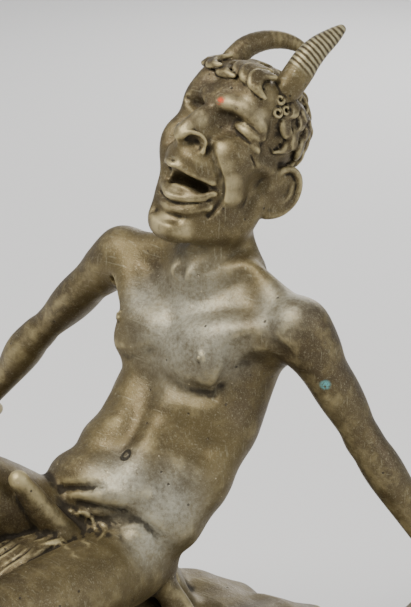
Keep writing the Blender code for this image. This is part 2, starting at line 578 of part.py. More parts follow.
def rock(clay):
    """The seat, the ledges under the feet, a knob under each hand and the ground."""
    boulder(clay, (0, -6, -41), (29, 31, 36), 3)
    boulder(clay, (3, 26, -44), (24, 36, 36), 5)
    boulder(clay, (-26, 58, -58), (25, 30, 24), 8)
    boulder(clay, (42, -42, -66), (46, 44, 30), 12)
    boulder(clay, (86, -84, -44), (22, 22, 34), 14)
    boulder(clay, (70, -66, -62), (36, 34, 28), 15)
    boulder(clay, (-52, -40, -56), (46, 44, 38), 17)
    boulder(clay, (-102, -47, -34), (23, 24, 40), 21)
    boulder(clay, (-84, -44, -58), (34, 40, 34), 22)
    boulder(clay, (-62, 14, -68), (46, 48, 22), 23)
    boulder(clay, (46, 20, -70), (44, 44, 20), 29)
    boulder(clay, (14, 82, -80), (40, 38, 10.5), 31)
    boulder(clay, (0, -70, -70), (70, 40, 24), 37)
    floor = GROUND + CAST_FLOOR
    grain = 2.2 * lumps(clay, 17, 1) + 1.1 * lumps(clay, 8, 2)
    clay.field += np.where(clay.field < 6, grain * BODY, 0)
    cuts, x, y, z = clay.all()
    wide, deep = PLINTH_WIDTH / 2 - MARGIN, PLINTH_DEPTH / 2 - MARGIN
    round_edge = ((x + HIPS_OFFSET[0]) / wide) ** 4 + ((y + HIPS_OFFSET[1]) / deep) ** 4
    wall = (round_edge ** 0.25 - 1) * deep + EDGE_WAVE * (1 + lumps(clay, 20, 4))
    clay.lay(cuts, np.maximum(wall, z - floor).astype(np.float32), 3 * BODY)
    clay.field = np.maximum(clay.field, wall)


def pelt(body):
    """Long goat's hair that hangs over the rock between the thighs and behind the hip."""
    for i in range(13):
        left = -13 + 2 * i
        wave = 2.2 * math.sin(i * 2.4)
        body.stroke([(left * 0.45, 12, 3, 1.4), (left * 0.8 + wave, 27, -3, 1.9),
                     (left - wave, 42, -13, 1.8), (left * 1.1 + wave, 56, -26, 1.2)],
                    soft=1.2, per_span=4)
    for i in range(9):
        angle = math.radians(-80 + 18 * i)
        out, back = math.sin(angle), -math.cos(angle)
        wave = 2 * math.sin(i * 2.1)
        body.stroke([(15 + 5 * out, -8 + 7 * back, -10, 3.5),
                     (16 + 9 * out + wave, -9 + 12 * back, -19, 3),
                     (18 + 15 * out, -10 + 18 * back + wave, -31, 2)], soft=2, per_span=4)


def head_axes():
    """The head's left, front and up: thrown back, turned and tilted to his right."""
    axes = np.array(((1, 0, 0), (0, -1, 0), (0, 0, 1.0)))
    axes = axes @ turn((1, 0, 0), -HEAD_PITCH).T
    axes = axes @ turn((0, 0, 1), HEAD_YAW).T
    return axes @ turn(axes[1], HEAD_ROLL).T


def cast_clay(step):
    """The whole bronze on one grid, with the hips' middle at the origin."""
    half = np.array((PLINTH_WIDTH / 2, PLINTH_DEPTH / 2))
    low = (*np.minimum(-half - HIPS_OFFSET, -FIGURE_REACH), GROUND - 2 * step)
    high = (*np.maximum(half - HIPS_OFFSET, FIGURE_REACH), TOP)
    ground, clay = Clay(low, high, step), Clay(low, high, step)
    rock(ground)
    axes = ((1, 0, 0), (0, -1, 0), (0, 0, 1.0))
    body = Place(clay, np.zeros(3), axes, BODY)
    head = Place(clay, np.array((HEAD_AT[0], -HEAD_AT[1], HEAD_AT[2])) * BODY, head_axes(), HEAD)
    torso(body)
    for side in (1, -1):
        leg(body, side)
        arm(body, side)
    torso_carving(body)
    neck(body)
    skull(head)
    nose(head)
    brow_and_eyes(head)
    mouth(head)
    hair(head)
    for side in (1, -1):
        ear(head, side)
        horn(head, side)
    pelt(body)
    loins(body)
    cuts, x, y, z = clay.all()
    clay.lay(cuts, ground.field, 1.5)
    clay.field = np.maximum(clay.field, (GROUND - z).astype(np.float32))
    clay.settle()
    return clay


def solid(name, points, faces, material):
    mesh = bpy.data.meshes.new(name)
    mesh.from_pydata(points, [], faces)
    mesh.materials.append(material)
    mesh.update()
    mesh.shade_smooth()
    piece = bpy.data.objects.new(name, mesh)
    bpy.context.scene.collection.objects.link(piece)
    return piece


def finish(name, colour, roughness, metallic):
    material = bpy.data.materials.new(name)
    material.use_nodes = True
    shader = material.node_tree.nodes["Principled BSDF"]
    shader.inputs["Base Color"].default_value = (*colour, 1)
    shader.inputs["Roughness"].default_value = roughness
    shader.inputs["Metallic"].default_value = metallic
    return material


def bronze_cast():
    """The figure and its rock, skinned and thinned, most finely on the head."""
    clay = cast_clay(GRID_STEP)
    points, quads = clay.skin()
    piece = solid("faun", (points * MM).tolist(), quads.tolist(),
                  finish("Brown bronze", (0.13, 0.085, 0.045), 0.38, 1.0))
    piece.location = [HIPS_OFFSET[0] * MM, HIPS_OFFSET[1] * MM,
                      (PLINTH_HEIGHT + SEAT_GAP - GROUND) * MM]
    plain = piece.vertex_groups.new(name="plainer")
    plain.add(range(len(points)), 1.0, "REPLACE")
    chin = HEAD_AT[2] * BODY - 12 * HEAD
    plain.add(np.flatnonzero(points[:, 2] > chin).tolist(), 0.5, "REPLACE")
    thin = piece.modifiers.new("Fewer triangles", "DECIMATE")
    thin.ratio = min(1.0, CAST_TRIANGLES / (2 * len(quads)))
    thin.vertex_group = "plainer"
    thin.vertex_group_factor = HEAD_FINENESS
    return piece


def plinth():
    """A slab with round corners, chamfered at its top and bottom edges."""
    rows = []
    for height, inset in ((0, PLINTH_CHAMFER), (PLINTH_CHAMFER, 0),
                          (PLINTH_HEIGHT - PLINTH_CHAMFER, 0), (PLINTH_HEIGHT, PLINTH_CHAMFER)):
        half = (PLINTH_WIDTH / 2 - PLINTH_CORNER, PLINTH_DEPTH / 2 - PLINTH_CORNER)
        for corner in range(4):
            for step in range(7):
                angle = math.radians(90 * corner + 15 * step)
                reach = PLINTH_CORNER - inset
                sign = ((1, 1), (-1, 1), (-1, -1), (1, -1))[corner]
                rows.append(((sign[0] * half[0] + reach * math.cos(angle)) * MM,
                             (sign[1] * half[1] + reach * math.sin(angle)) * MM, height * MM))
    ring = len(rows) // 4
    faces = [tuple(reversed(range(ring))), tuple(range(3 * ring, 4 * ring))]
    for level in range(3):
        for i in range(ring):
            j = (i + 1) % ring
            faces.append((level * ring + i, level * ring + j,
                          (level + 1) * ring + j, (level + 1) * ring + i))
    slab = solid("plinth", rows, faces, finish("Black marble", (0.02, 0.02, 0.022), 0.2, 0.0))
    slab.data.shade_flat()
    return slab


for leftover in list(bpy.data.objects):
    bpy.data.objects.remove(leftover)
plinth()
bronze_cast()
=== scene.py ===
"""Looks of the laughing faun: a patinated bronze cast on a slab of black marble."""

import math

import bpy
import numpy as np
from mathutils import Matrix, Vector


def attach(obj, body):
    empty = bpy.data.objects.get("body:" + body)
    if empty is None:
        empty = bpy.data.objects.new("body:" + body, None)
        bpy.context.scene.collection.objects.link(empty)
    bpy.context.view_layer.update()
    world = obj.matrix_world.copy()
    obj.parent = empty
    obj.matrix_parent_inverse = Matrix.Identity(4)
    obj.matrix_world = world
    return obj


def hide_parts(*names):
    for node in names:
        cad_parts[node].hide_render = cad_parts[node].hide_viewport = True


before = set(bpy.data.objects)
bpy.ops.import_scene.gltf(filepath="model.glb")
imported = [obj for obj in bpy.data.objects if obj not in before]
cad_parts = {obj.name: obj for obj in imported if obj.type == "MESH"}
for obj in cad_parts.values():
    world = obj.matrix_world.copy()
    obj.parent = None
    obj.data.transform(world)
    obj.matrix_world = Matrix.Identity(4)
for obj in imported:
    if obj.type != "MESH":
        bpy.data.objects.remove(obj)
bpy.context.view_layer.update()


def in_scene(name, data):
    """Puts a new object in the scene."""
    made = bpy.data.objects.new(name, data)
    bpy.context.scene.collection.objects.link(made)
    return made


# The viewpoint: from the faun's left front, a little above him, so close that the base,
# the hands and the feet lie outside the picture.
VIEW_AZIMUTH, VIEW_ELEVATION = math.radians(42), math.radians(20)
VIEW_DISTANCE = 0.9
VIEW_LENS = 157  # mm
VIEW_CENTRE = Vector((0.0171, 0.0502, 0.1777))  # what the middle of the picture looks at
view_right = Vector((math.cos(VIEW_AZIMUTH), math.sin(VIEW_AZIMUTH), 0))
view_back = Vector((math.sin(VIEW_AZIMUTH) * math.cos(VIEW_ELEVATION),
                    -math.cos(VIEW_AZIMUTH) * math.cos(VIEW_ELEVATION),
                    math.sin(VIEW_ELEVATION)))
view_up = view_back.cross(view_right)
lens = bpy.data.cameras.new("Camera")
lens.lens = VIEW_LENS
lens.clip_start = 0.01
camera = in_scene("Camera", lens)
bpy.context.scene.camera = camera
spot = VIEW_CENTRE + VIEW_DISTANCE * view_back
camera.matrix_world = Matrix([(r, u, b, p) for r, u, b, p in
                              zip(view_right, view_up, view_back, spot)] + [(0, 0, 0, 1)])


# The bronze: one lost-wax cast of the faun with the rock he sits on, chased with files and
# drills after casting, and darkened to a brown patina that hands have since rubbed.
# It is modelled as its sculptor worked, in clay: soft forms laid on a grid of signed
# distances in millimetres, blended into each other, carved, and skinned at the end.

MM = 0.001
PLINTH_WIDTH = 250.0
PLINTH_DEPTH = 236.0
PLINTH_HEIGHT = 20.0
SEAT_GAP = 0.3  # between the stone's top and the cast's underside
MARGIN = 7.0  # from the stone's edge to the cast's
EDGE_WAVE = 2.0
SITTING_HEIGHT = 150.0  # hips to crown
HEAD_LENGTH = 75.4  # chin to crown
BODY = SITTING_HEIGHT / 150.0  # a body share: 150 from hips to crown
HEAD = HEAD_LENGTH / 24.0  # a head share: 24 from chin to crown
CAST_FLOOR = 4.5  # the sheet of ground under his feet
GROUND = -78.0 * BODY
HIPS_OFFSET = (9.0, 4.0)

# Joints in body shares: (left, front, up) of the hips' middle
SHOULDER = {1: (47, -50, 80), -1: (-34, -50, 87.5)}
ELBOW = {1: (62.6, -65.3, 38.8), -1: (-73.4, -46.6, 48.3)}
WRIST = {1: (82, -82.3, -2.7), -1: (-102, -46.6, 14.6)}
HIP = {1: (15, 0, -1), -1: (-14.6, 0, 1.2)}
KNEE = {1: (12.9, 71.7, 2.7), -1: (-27, 56.3, 45.6)}
ANKLE = {1: (13.6, 76.5, -61), -1: (-29, 59.5, -25.5)}
HEAD_AT = (8.4, -68, 124.4)
HEAD_PITCH, HEAD_YAW, HEAD_ROLL = 36.0, -7.0, -6.0

COARSE, FINE = ((1.0, 0.5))  # the grid on the body and on the head
CAST_TRIANGLES = 190000
FAR = 12.0  # mm, where nothing is laid
RELIEFS = (("chasing", 3), ("modelling", 24), ("form", 90))  # rounds of averaging
CHIN_DROP = 38  # body shares from the head's middle to below the chin
FACE_THINNING = 0.5  # how far the head takes part in the thinning of the mesh


def unit(direction):
    direction = np.asarray(direction, float)
    return direction / np.linalg.norm(direction)


def turn(axis, degrees):
    """A matrix that turns vectors by the right-hand rule about an axis."""
    x, y, z = unit(axis)
    c, s = math.cos(math.radians(degrees)), math.sin(math.radians(degrees))
    skew = np.array([[0, -z, y], [z, 0, -x], [-y, x, 0]])
    return c * np.eye(3) + s * skew + (1 - c) * np.outer((x, y, z), (x, y, z))


def smooth_path(rows, per_span=5):
    """A Catmull-Rom curve through rows of three lengths and a radius."""
    rows = np.array(rows, float)
    if len(rows) == 2:
        return rows
    ends = np.vstack([2 * rows[0] - rows[1], rows, 2 * rows[-1] - rows[-2]])
    curve = []
    for a, b, c, d in zip(ends[:-3], ends[1:-2], ends[2:-1], ends[3:]):
        for t in np.arange(per_span) / per_span:
            curve.append(
                0.5 * (2 * b + (c - a) * t + (2 * a - 5 * b + 4 * c - d) * t**2
                       + (3 * b - a - 3 * c + d) * t**3)
            )
    curve.append(rows[-1])
    return np.array(curve)


class Clay:
    """Signed distances in millimetres on a box grid: negative is inside."""

    def __init__(self, axes, step):
        self.step = step
        self.axes = axes
        self.field = np.full([len(a) for a in self.axes], FAR, np.float32)

    def window(self, low, high):
        """The part of the grid in a box, and its coordinates ready to broadcast."""
        cuts = []
        for axis, a, b in zip(self.axes, low, high):
            first, last = np.searchsorted(axis, (a, b))
            cuts.append(slice(max(first - 1, 0), min(last + 1, len(axis))))
        x, y, z = (axis[cut] for axis, cut in zip(self.axes, cuts))
        return tuple(cuts), x[:, None, None], y[None, :, None], z[None, None, :]

    def all(self):
        return self.window([axis[0] for axis in self.axes], [axis[-1] for axis in self.axes])

    def lay(self, cuts, distance, soft):
        """Adds a form, with a fillet of about the width of soft."""
        old = self.field[cuts]
        h = np.maximum(soft - np.abs(old - distance), 0) / soft
        self.field[cuts] = np.minimum(old, distance) - h * h * soft * 0.25

    def cut(self, cuts, distance, soft):
        """Takes a form away, with rounded lips."""
        old = self.field[cuts]
        h = np.maximum(soft - np.abs(old + distance), 0) / soft
        self.field[cuts] = np.maximum(old, -distance) + h * h * soft * 0.25

    def settle(self):
        """Fills each spot where the surface would touch itself along an edge or at a point."""
        filled = -0.05 * self.step
        for _ in range(12):
            inside = self.field < 0
            marks = np.zeros_like(inside)
            low, high = slice(None, -1), slice(1, None)
            for still in range(3):
                pair = [axis for axis in range(3) if axis != still]
                cuts = []
                for ends in ((low, low), (high, high), (low, high), (high, low)):
                    cut = [slice(None)] * 3
                    cut[pair[0]], cut[pair[1]] = ends
                    cuts.append(tuple(cut))
                a, b, c, d = (inside[cut] for cut in cuts)
                crossed = (a == b) & (c == d) & (a != c)
                for cut in cuts:
                    marks[cut] |= crossed
            corners = [(i, j, k) for i in (low, high) for j in (low, high) for k in (low, high)]
            count = sum(inside[corner].astype(np.int8) for corner in corners)
            for corner, opposite in zip(corners[:4], corners[:3:-1]):
                alike = inside[corner] == inside[opposite]
                pinched = alike & (count == np.where(inside[corner], 2, 6))
                for cut in corners:
                    marks[cut] |= pinched
            marks &= ~inside
            if not marks.any():
                break
            self.field[marks] = filled

    def skin(self):
        """Points and quads of the surface where the distance is nought (surface nets)."""
        inside = self.field < 0
        corners = [(i, j, k) for i in (0, 1) for j in (0, 1) for k in (0, 1)]
        nx, ny, nz = self.field.shape
        count = sum(inside[i:nx - 1 + i, j:ny - 1 + j, k:nz - 1 + k].astype(np.int8)
                    for i, j, k in corners)
        cells = np.argwhere((count > 0) & (count < 8))
        number = np.full(count.shape, -1, np.int64)
        number[tuple(cells.T)] = np.arange(len(cells))
        total, hits = np.zeros((len(cells), 3)), np.zeros(len(cells))
        for corner in corners:
            for axis in range(3):
                if corner[axis]:
                    continue
                end = list(corner)
                end[axis] = 1
                a = self.field[tuple((cells + corner).T)].astype(float)
                b = self.field[tuple((cells + end).T)].astype(float)
                crossed = (a < 0) != (b < 0)
                spot = np.repeat(np.array(corner, float)[None], len(cells), 0)
                spot[:, axis] = np.where(crossed, a / np.where(crossed, a - b, 1), 0)
                total += spot * crossed[:, None]
                hits += crossed
        spots = cells + total / hits[:, None]
        points = np.stack([np.interp(spots[:, i], np.arange(len(self.axes[i])), self.axes[i])
                           for i in range(3)], 1)
        quads = []
        for axis in range(3):
            u, v = (axis + 1) % 3, (axis + 2) % 3
            near, far = [slice(None)] * 3, [slice(None)] * 3
            near[axis], far[axis] = slice(None, -1), slice(1, None)
            a, b = inside[tuple(near)], inside[tuple(far)]
            edges = np.argwhere(a != b)
            cross = edges[:, (u, v)]
            edges = edges[np.all((cross > 0) & (cross < (count.shape[u], count.shape[v])), 1)]
            out = a[tuple(edges.T)]
            ring = []
            for du, dv in ((-1, -1), (0, -1), (0, 0), (-1, 0)):
                cell = edges.copy()
                cell[:, u] += du
                cell[:, v] += dv
                ring.append(number[tuple(cell.T)])
            ring = np.stack(ring, 1)
            quads.append(np.where(out[:, None], ring, ring[:, ::-1]))
        return largest_piece(points, np.concatenate(quads))


def largest_piece(points, quads):
    """Drops the crumbs and bubbles that float apart from the main surface."""
    label = np.arange(len(points))
    while True:
        lowest = label[quads].min(1)
        fresh = label.copy()
        for corner in range(4):
            np.minimum.at(fresh, quads[:, corner], lowest)
        fresh = fresh[fresh]
        if np.array_equal(fresh, label):
            break
        label = fresh
    keep = label == np.bincount(label).argmax()
    number = np.cumsum(keep) - 1
    return points[keep], number[quads[keep[quads[:, 0]]]]


class Place:
    """A part of the body to model in: its own origin, left, front and up, and its unit."""

    def __init__(self, clay, origin, axes, length):
        self.clay, self.origin, self.axes, self.length = clay, origin, np.array(axes), length

    def halves(self):
        """This place and its mirror image, for what is alike on the left and on the right."""
        return self, Place(self.clay, self.origin, self.axes * [[-1], [1], [1]], self.length)

    def at(self, spot):
        return self.origin + self.length * (np.asarray(spot, float) @ self.axes)

    def way(self, direction):
        return unit(np.asarray(direction, float) @ self.axes)

    def surface(self, start, direction, reach):
        """Where the modelled surface is, seen from a start inside it."""
        start, direction = np.asarray(start, float), unit(direction)
        steps = np.arange(0, reach, 0.3 / self.length)
        spots = self.at(start + steps[:, None] * direction)
        index = tuple(np.clip(np.searchsorted(axis, spots[:, i]), 0, len(axis) - 1)
                      for i, axis in enumerate(self.clay.axes))
        inside = np.flatnonzero(self.clay.field[index] < 0)
        return start + steps[inside.max() if len(inside) else 0] * direction

    def stroke(self, rows, soft=2.0, carve=False, per_span=5):
        """A round limb, roll or groove along a path: rows of (left, front, up, radius)."""
        rows = [(*self.at(row[:3]), row[3] * self.length) for row in rows]
        path = smooth_path(rows, per_span)
        soft = soft * self.length
        clay = self.clay
        reach = path[:, 3].max() + soft + clay.step
        cuts, x, y, z = clay.window(path[:, :3].min(0) - reach, path[:, :3].max(0) + reach)
        if 0 in clay.field[cuts].shape:
            return
        nearest = np.full(clay.field[cuts].shape, 1e3, np.float32)
        for a, b in zip(path[:-1].astype(np.float32), path[1:].astype(np.float32)):
            d = b[:3] - a[:3]
            span = max(float(d @ d), 1e-9)
            px, py, pz = x - a[0], y - a[1], z - a[2]
            t = np.clip((px * d[0] + py * d[1] + pz * d[2]) / span, 0, 1)
            away = np.sqrt((px - t * d[0]) ** 2 + (py - t * d[1]) ** 2 + (pz - t * d[2]) ** 2)
            np.minimum(nearest, away - (a[3] + t * (b[3] - a[3])), out=nearest)
        (clay.cut if carve else clay.lay)(cuts, nearest, soft)

    def ovoid(self, spot, radii, along=(1, 0, 0), face=(0, 0, 1), soft=4.0, carve=False):
        """An ellipsoid: its radii run along one way, across it, and where it faces."""
        clay, centre, soft = self.clay, self.at(spot), soft * self.length
        first, face = self.way(along), self.way(face)
        third = unit(face - (face @ first) * first)
        basis = np.array([first, np.cross(third, first), third])
        radii = np.array(radii) * self.length
        half = np.sqrt(((basis * radii[:, None]) ** 2).sum(0)) + soft + clay.step
        cuts, x, y, z = clay.window(centre - half, centre + half)
        if 0 in clay.field[cuts].shape:
            return
        px, py, pz = x - centre[0], y - centre[1], z - centre[2]
        near = far = 0
        for way, radius in zip(basis, radii):
            reach = (px * way[0] + py * way[1] + pz * way[2]) / radius
            near = near + reach**2
            far = far + (reach / radius) ** 2
        near = np.sqrt(near)
        distance = near * (near - 1) / np.maximum(np.sqrt(far), 1e-6)
        (clay.cut if carve else clay.lay)(cuts, distance.astype(np.float32), soft)


def mix(a, b, share):
    return tuple(p + (q - p) * share for p, q in zip(a, b))


def moved(spot, left=0.0, front=0.0, up=0.0):
    return (spot[0] + left, spot[1] + front, spot[2] + up)


def torso(body):
    """Pelvis tipped back, a slack belly, the ribs leaning back and the shoulders pushed up."""
    body.ovoid((-1, -6, 3), (26, 19, 16), face=(0, 0.3, 1), soft=5)
    body.ovoid((2.5, -15, 14), (29, 19, 18), face=(0, -0.64, 0.77), soft=5)
    body.ovoid((4.5, -25.5, 26), (29.5, 20, 22), face=(0, -0.5, 0.86), soft=5)
    body.ovoid((6, -37, 42), (28.5, 20.5, 22), face=(0, -0.42, 0.9), soft=5)
    body.ovoid((6, -46, 60), (27.5, 20.5, 28), face=(0, -0.42, 0.9), soft=5)
    body.ovoid((6.5, -50, 80), (26, 13, 13), along=(1, 0, -0.09), soft=6)
    for side in (1, -1):
        shoulder = SHOULDER[side]
        drop = 1.5 if side > 0 else 0
        body.stroke([(7 + side * 9, -55, 93 - drop, 5),
                     (*mix((7, -55, 91 - drop), shoulder, 0.6), 6.5), (*shoulder, 8)], soft=5)
        body.ovoid((5 + side * 12.5, -32.5, 66), (13, 6.5, 11), along=(1, 0, 0.1 * side),
                   face=(0, -0.3, 1), soft=4)
        body.stroke([(*moved(shoulder, -side * 7, -1, -7), 7), (6 + side * 21, -50, 62, 9),
                     (5 + side * 21, -43, 46, 8), (4 + side * 21, -30, 30, 7)], soft=6)
        body.stroke([(*moved(shoulder, -side * 5, 3, -3), 6), (6 + side * 20, -38, 75, 6.5),
                     (6 + side * 9, -35, 72, 5)], soft=6)
        body.stroke([(6 + side * 4, -41, 90, 1.4), (6.5 + side * 10, -45.5, 92.5, 1.8),
                     (7 + side * 18, -51, 94.5, 2.0), (*moved(shoulder, -side * 6, -2, 3), 2.2)],
                    soft=7)
        body.stroke([(4 + side * 8, -22.5, 48, 4), (3 + side * 9, -13, 36, 4),
                     (2 + side * 9, -3, 24, 4.4)], soft=9)
        body.ovoid((-0.5 + side * 12, -11, -4), (11.5, 12, 12), soft=4)
        body.stroke([(2 + side * 25, -22, 21, 4.5), (side * 23, -12, 17, 4.5),
                     (side * 19, 0, 12, 4)], soft=4)
    body.ovoid((-4, -3, 22), (19, 12, 13), face=(0, 0, 1), soft=5)
    body.ovoid((-8, -17, 36), (11.5, 8, 14), face=(0, -0.4, 0.9), soft=7)


def torso_carving(body):
    """The chest's midline and borders, the armpits, the rib arch and the belly folds."""
    grooves = [
        # down the breastbone, and down the belly to the navel
        ([(5, -31, 91, 2.0), (4, -27.3, 79, 0.9), (2.5, -25.3, 67, 1.2)], 4),
        ([(2.5, -21.5, 58, 1.0), (4, -16.5, 50, 0.9), (6.3, -9.5, 42, 0.6)], 7),
        # under the left and the right breast
        ([(1.5, -24.5, 66, 1.0), (5, -23, 62.5, 1.7), (9, -22.2, 60, 2.2), (14, -22, 58, 2.3),
          (20, -23.6, 56.8, 2.1), (27, -28.5, 56, 1.2)], 4),
        ([(0, -24.5, 65, 1.2), (-5, -23.4, 63, 1.7), (-10, -24.3, 61, 1.7),
          (-15, -26, 60, 1.2)], 4),
        # the armpits' front folds
        ([(29, -31, 59, 0.8), (32, -32, 66, 1.8), (34.5, -33.5, 73, 2.4), (41, -36, 76, 2.4),
          (48, -39, 73, 1.8)], 4),
        ([(-22, -33, 66, 0.8), (-25, -37, 74, 1.4), (-29, -42, 80, 1.6)], 3),
        # the rib arch and the bands across the belly
        ([(3, -18, 58, 1.0), (11, -15, 52.5, 1.7), (20, -17, 47.5, 1.7), (29, -21.5, 41, 1.0)], 12),
        ([(0, -18, 58, 1.0), (-8, -14.5, 51.5, 1.6), (-18, -15.5, 44, 1.0)], 12),
        # the folds above the lap
        ([(-7, 8.8, 24.5, 0.3), (3, 7.0, 27, 0.6), (8, 5.0, 27.6, 0.3)], 3),
        ([(0, 8.6, 21, 0.4), (9, 6.4, 21, 0.8), (16, 2.7, 21, 0.4)], 3),
        ([(6, 7.4, 16.2, 0.5), (14, 4.2, 18.5, 0.8), (21, 0.4, 17.6, 0.6), (26, -2.3, 13, 0.3)], 4),
    ]
    for rows, soft in grooves:
        body.stroke(rows, soft=soft, carve=True)
    body.stroke([(7, 3.4, 24.8, 2.0), (13, 0.4, 25.5, 2.6), (19, -4.6, 25.5, 2.0)], soft=3)
    for side, start in ((1, (21, -45, 69)), (-1, (-15, -45, 73))):
        nipple = body.surface(start, (0.1 * side, 1, 0), 40)
        body.ovoid(nipple, (2.2, 2.2, 0.5), face=(0.1 * side, 1, 0.1), soft=0.8)
        body.ovoid(nipple, (0.9, 0.9, 1.3), face=(0.1 * side, 1, 0.1), soft=0.5)


def arm(body, side):
    """A straight arm that props the body, with its hand spread on the rock."""
    shoulder, elbow, wrist = SHOULDER[side], ELBOW[side], WRIST[side]
    upper, lower = np.subtract(elbow, shoulder), np.subtract(wrist, elbow)
    stout = 1.0 if side > 0 else 0.92
    body.ovoid(mix(shoulder, elbow, 0.14), (14, 9.2 * stout, 9.2 * stout),
               along=upper, soft=5)
    body.stroke([(*shoulder, 8.5 * stout), (*mix(shoulder, elbow, 0.45), 7.2 * stout),
                 (*elbow, 5.8 * stout)], soft=4)
    body.ovoid(moved(mix(shoulder, elbow, 0.52), 0, 2, 1), (15, 5.6, 5.6),
               along=upper, soft=4)
    body.ovoid(moved(mix(shoulder, elbow, 0.6), -side * 0.5, -3, 0), (15, 5.4, 5.4),
               along=upper, soft=4)
    body.stroke([(*elbow, 5.8 * stout), (*mix(elbow, wrist, 0.28), 6.9 * stout),
                 (*mix(elbow, wrist, 0.65), 5.6 * stout), (*wrist, 4.2 * stout)], soft=3)
    body.ovoid(moved(mix(elbow, wrist, 0.2), side * 2, 1, 0), (12, 5.2, 5.2),
               along=lower, soft=3)
    hand(body, side)


def hand(body, side):
    """A palm pressed on its knob of rock, with the fingers spread down over it."""
    reach = unit((0.55 * side, -0.78, -0.3)) if side > 0 else unit((-0.86, -0.42, -0.3))
    across = -side * unit(np.cross(reach, (0, 0, 1)))
    stretch, droop = (0.62, 13) if side > 0 else (0.95, 10)
    palm = np.array(WRIST[side]) + 7 * reach + (0, 0, -5)
    body.ovoid(palm, (9.5, 7.5, 4), along=reach, soft=3)
    for spread, length, radius in ((-1.0, 14, 1.9), (-0.36, 17, 2.1), (0.3, 18, 2.1),
                                   (0.95, 15.5, 2.1)):
        root = palm + 7.5 * reach + spread * 6 * across
        tip = root + stretch * length * unit(reach + 0.32 * spread * across) + (0, 0, -droop)
        knuckle = (root + tip) / 2 + 2 * reach + (0, 0, 4)
        body.stroke([(*root, radius + 0.5), (*knuckle, radius + 0.1), (*tip, radius - 0.3)],
                    soft=1.2)
    thumb = palm - 2 * reach + 7 * across
    body.stroke([(*thumb, 2.8), (*(thumb + 6 * reach + 5 * across), 2.5),
                 (*(thumb + 13 * reach + 6 * across + (0, 0, -3)), 2)], soft=1.5)


def leg(body, side):
    """Smooth thigh, knee, shin with its calf, and a bare foot flat on the rock."""
    hip, knee, ankle = HIP[side], KNEE[side], ANKLE[side]
    body.stroke([(*moved(hip, -side * 1.5, 2, 0), 13.5), (*mix(hip, knee, 0.35), 14.4),
                 (*mix(hip, knee, 0.75), 11.6), (*knee, 9.6)], soft=5)
    body.ovoid(moved(mix(hip, knee, 0.5), side * 2, 0, -2), (27, 12, 12),
               along=np.subtract(knee, hip), soft=5)
    body.ovoid(moved(knee, 0, 3, 1), (7.5, 7, 8.5), soft=4)
    shin = np.subtract(ankle, knee)
    body.stroke([(*knee, 9.3), (*mix(knee, ankle, 0.3), 8.2), (*mix(knee, ankle, 0.7), 6),
                 (*moved(ankle, 0, -1, 2), 4.9)], soft=4)
    body.ovoid(moved(mix(knee, ankle, 0.3), side, -4.5, 0), (20, 7.2, 7.2), along=shin, soft=5)
    body.stroke([(*moved(knee, 0, 7, -4), 2.6), (*moved(mix(knee, ankle, 0.5), 0, 4.5, 0), 2),
                 (*moved(ankle, -side, 3.5, 4), 1.6)], soft=3)
    body.ovoid(moved(ankle, -side * 4.6, 0, 1), (2.6, 2.8, 2.8), soft=2)
    body.ovoid(moved(ankle, side * 4.6, -1, -1), (2.4, 2.6, 2.8), soft=2)
    foot(body, side)


def foot(body, side):
    """A heel, an arch and five toes, the foot turned a little outward."""
    ankle = np.array(ANKLE[side], float)
    ahead = unit((0.16 * side, 1, -0.02))
    across = unit((1, -0.16 * side, 0))
    sole = ankle + (0, 0, -9)
    body.stroke([(*(ankle - 8 * ahead + (0, 0, -6.5)), 5.6), (*(sole + 6 * ahead), 4.6)], soft=4)
    body.stroke([(*(ankle + (0, 0, -1)), 5.6), (*(sole + 14 * ahead + (0, 0, 3.6)), 5.2),
                 (*(sole + 25 * ahead + (0, 0, -0.5)), 4)], soft=4)
    body.ovoid(sole + 22 * ahead + (0, 0, -1), (8.6, 8, 4), along=across, soft=3)
    for toe, (reach, radius) in enumerate(((36, 2.9), (36.5, 2.1), (35, 2.0), (33, 1.9),
                                           (30, 1.8))):
        spread = -side * (6.6 - 3.3 * toe)
        root = sole + 25 * ahead + spread * across + (0, 0, -0.6)
        tip = sole + reach * ahead + spread * 1.12 * across + (0, 0, -2.1)
        knuckle = (root + tip) / 2 + (0, 0, 1.1)
        body.stroke([(*root, radius + 0.5), (*knuckle, radius), (*tip, radius)], soft=1.1)


def loins(body):
    """The plain, tapered member that rises against the raised thigh, and its pouch."""
    body.ovoid((-0.5, 13, 5), (7, 6, 6), soft=3)
    body.stroke([(-0.5, 13.5, 9, 5.6), (-1.5, 20, 18, 4.9), (-3, 26.5, 28, 4.2),
                 (-4, 32, 36, 3.4)], soft=3)


def neck(body):
    """A short throat thrown back under the jaw, with the two cords to the collar."""
    base, top = np.array((6.5, -49, 90.0)), np.array((7, -55, 110.0))
    body.stroke([(*base, 11.5), (*((base + top) / 2), 9.3), (*top, 9.0)], soft=4)
    for side in (1, -1):
        body.stroke([(7.5 + side * 8, -57, 108, 2.6), (6.8 + side * 5.5, -46.5, 99, 2.2),
                     (5.5 + side * 3, -38, 92.5, 1.4)], soft=4)
        body.stroke([(7 + side * 5, -58, 105, 4), (7 + side * 12, -56, 93, 5)], soft=5)
    body.ovoid((6.8, -42, 98), (2.6, 2.6, 3.6), soft=3.5)
    body.ovoid((5.3, -35.5, 93), (2.2, 2, 2.6), soft=2, carve=True)


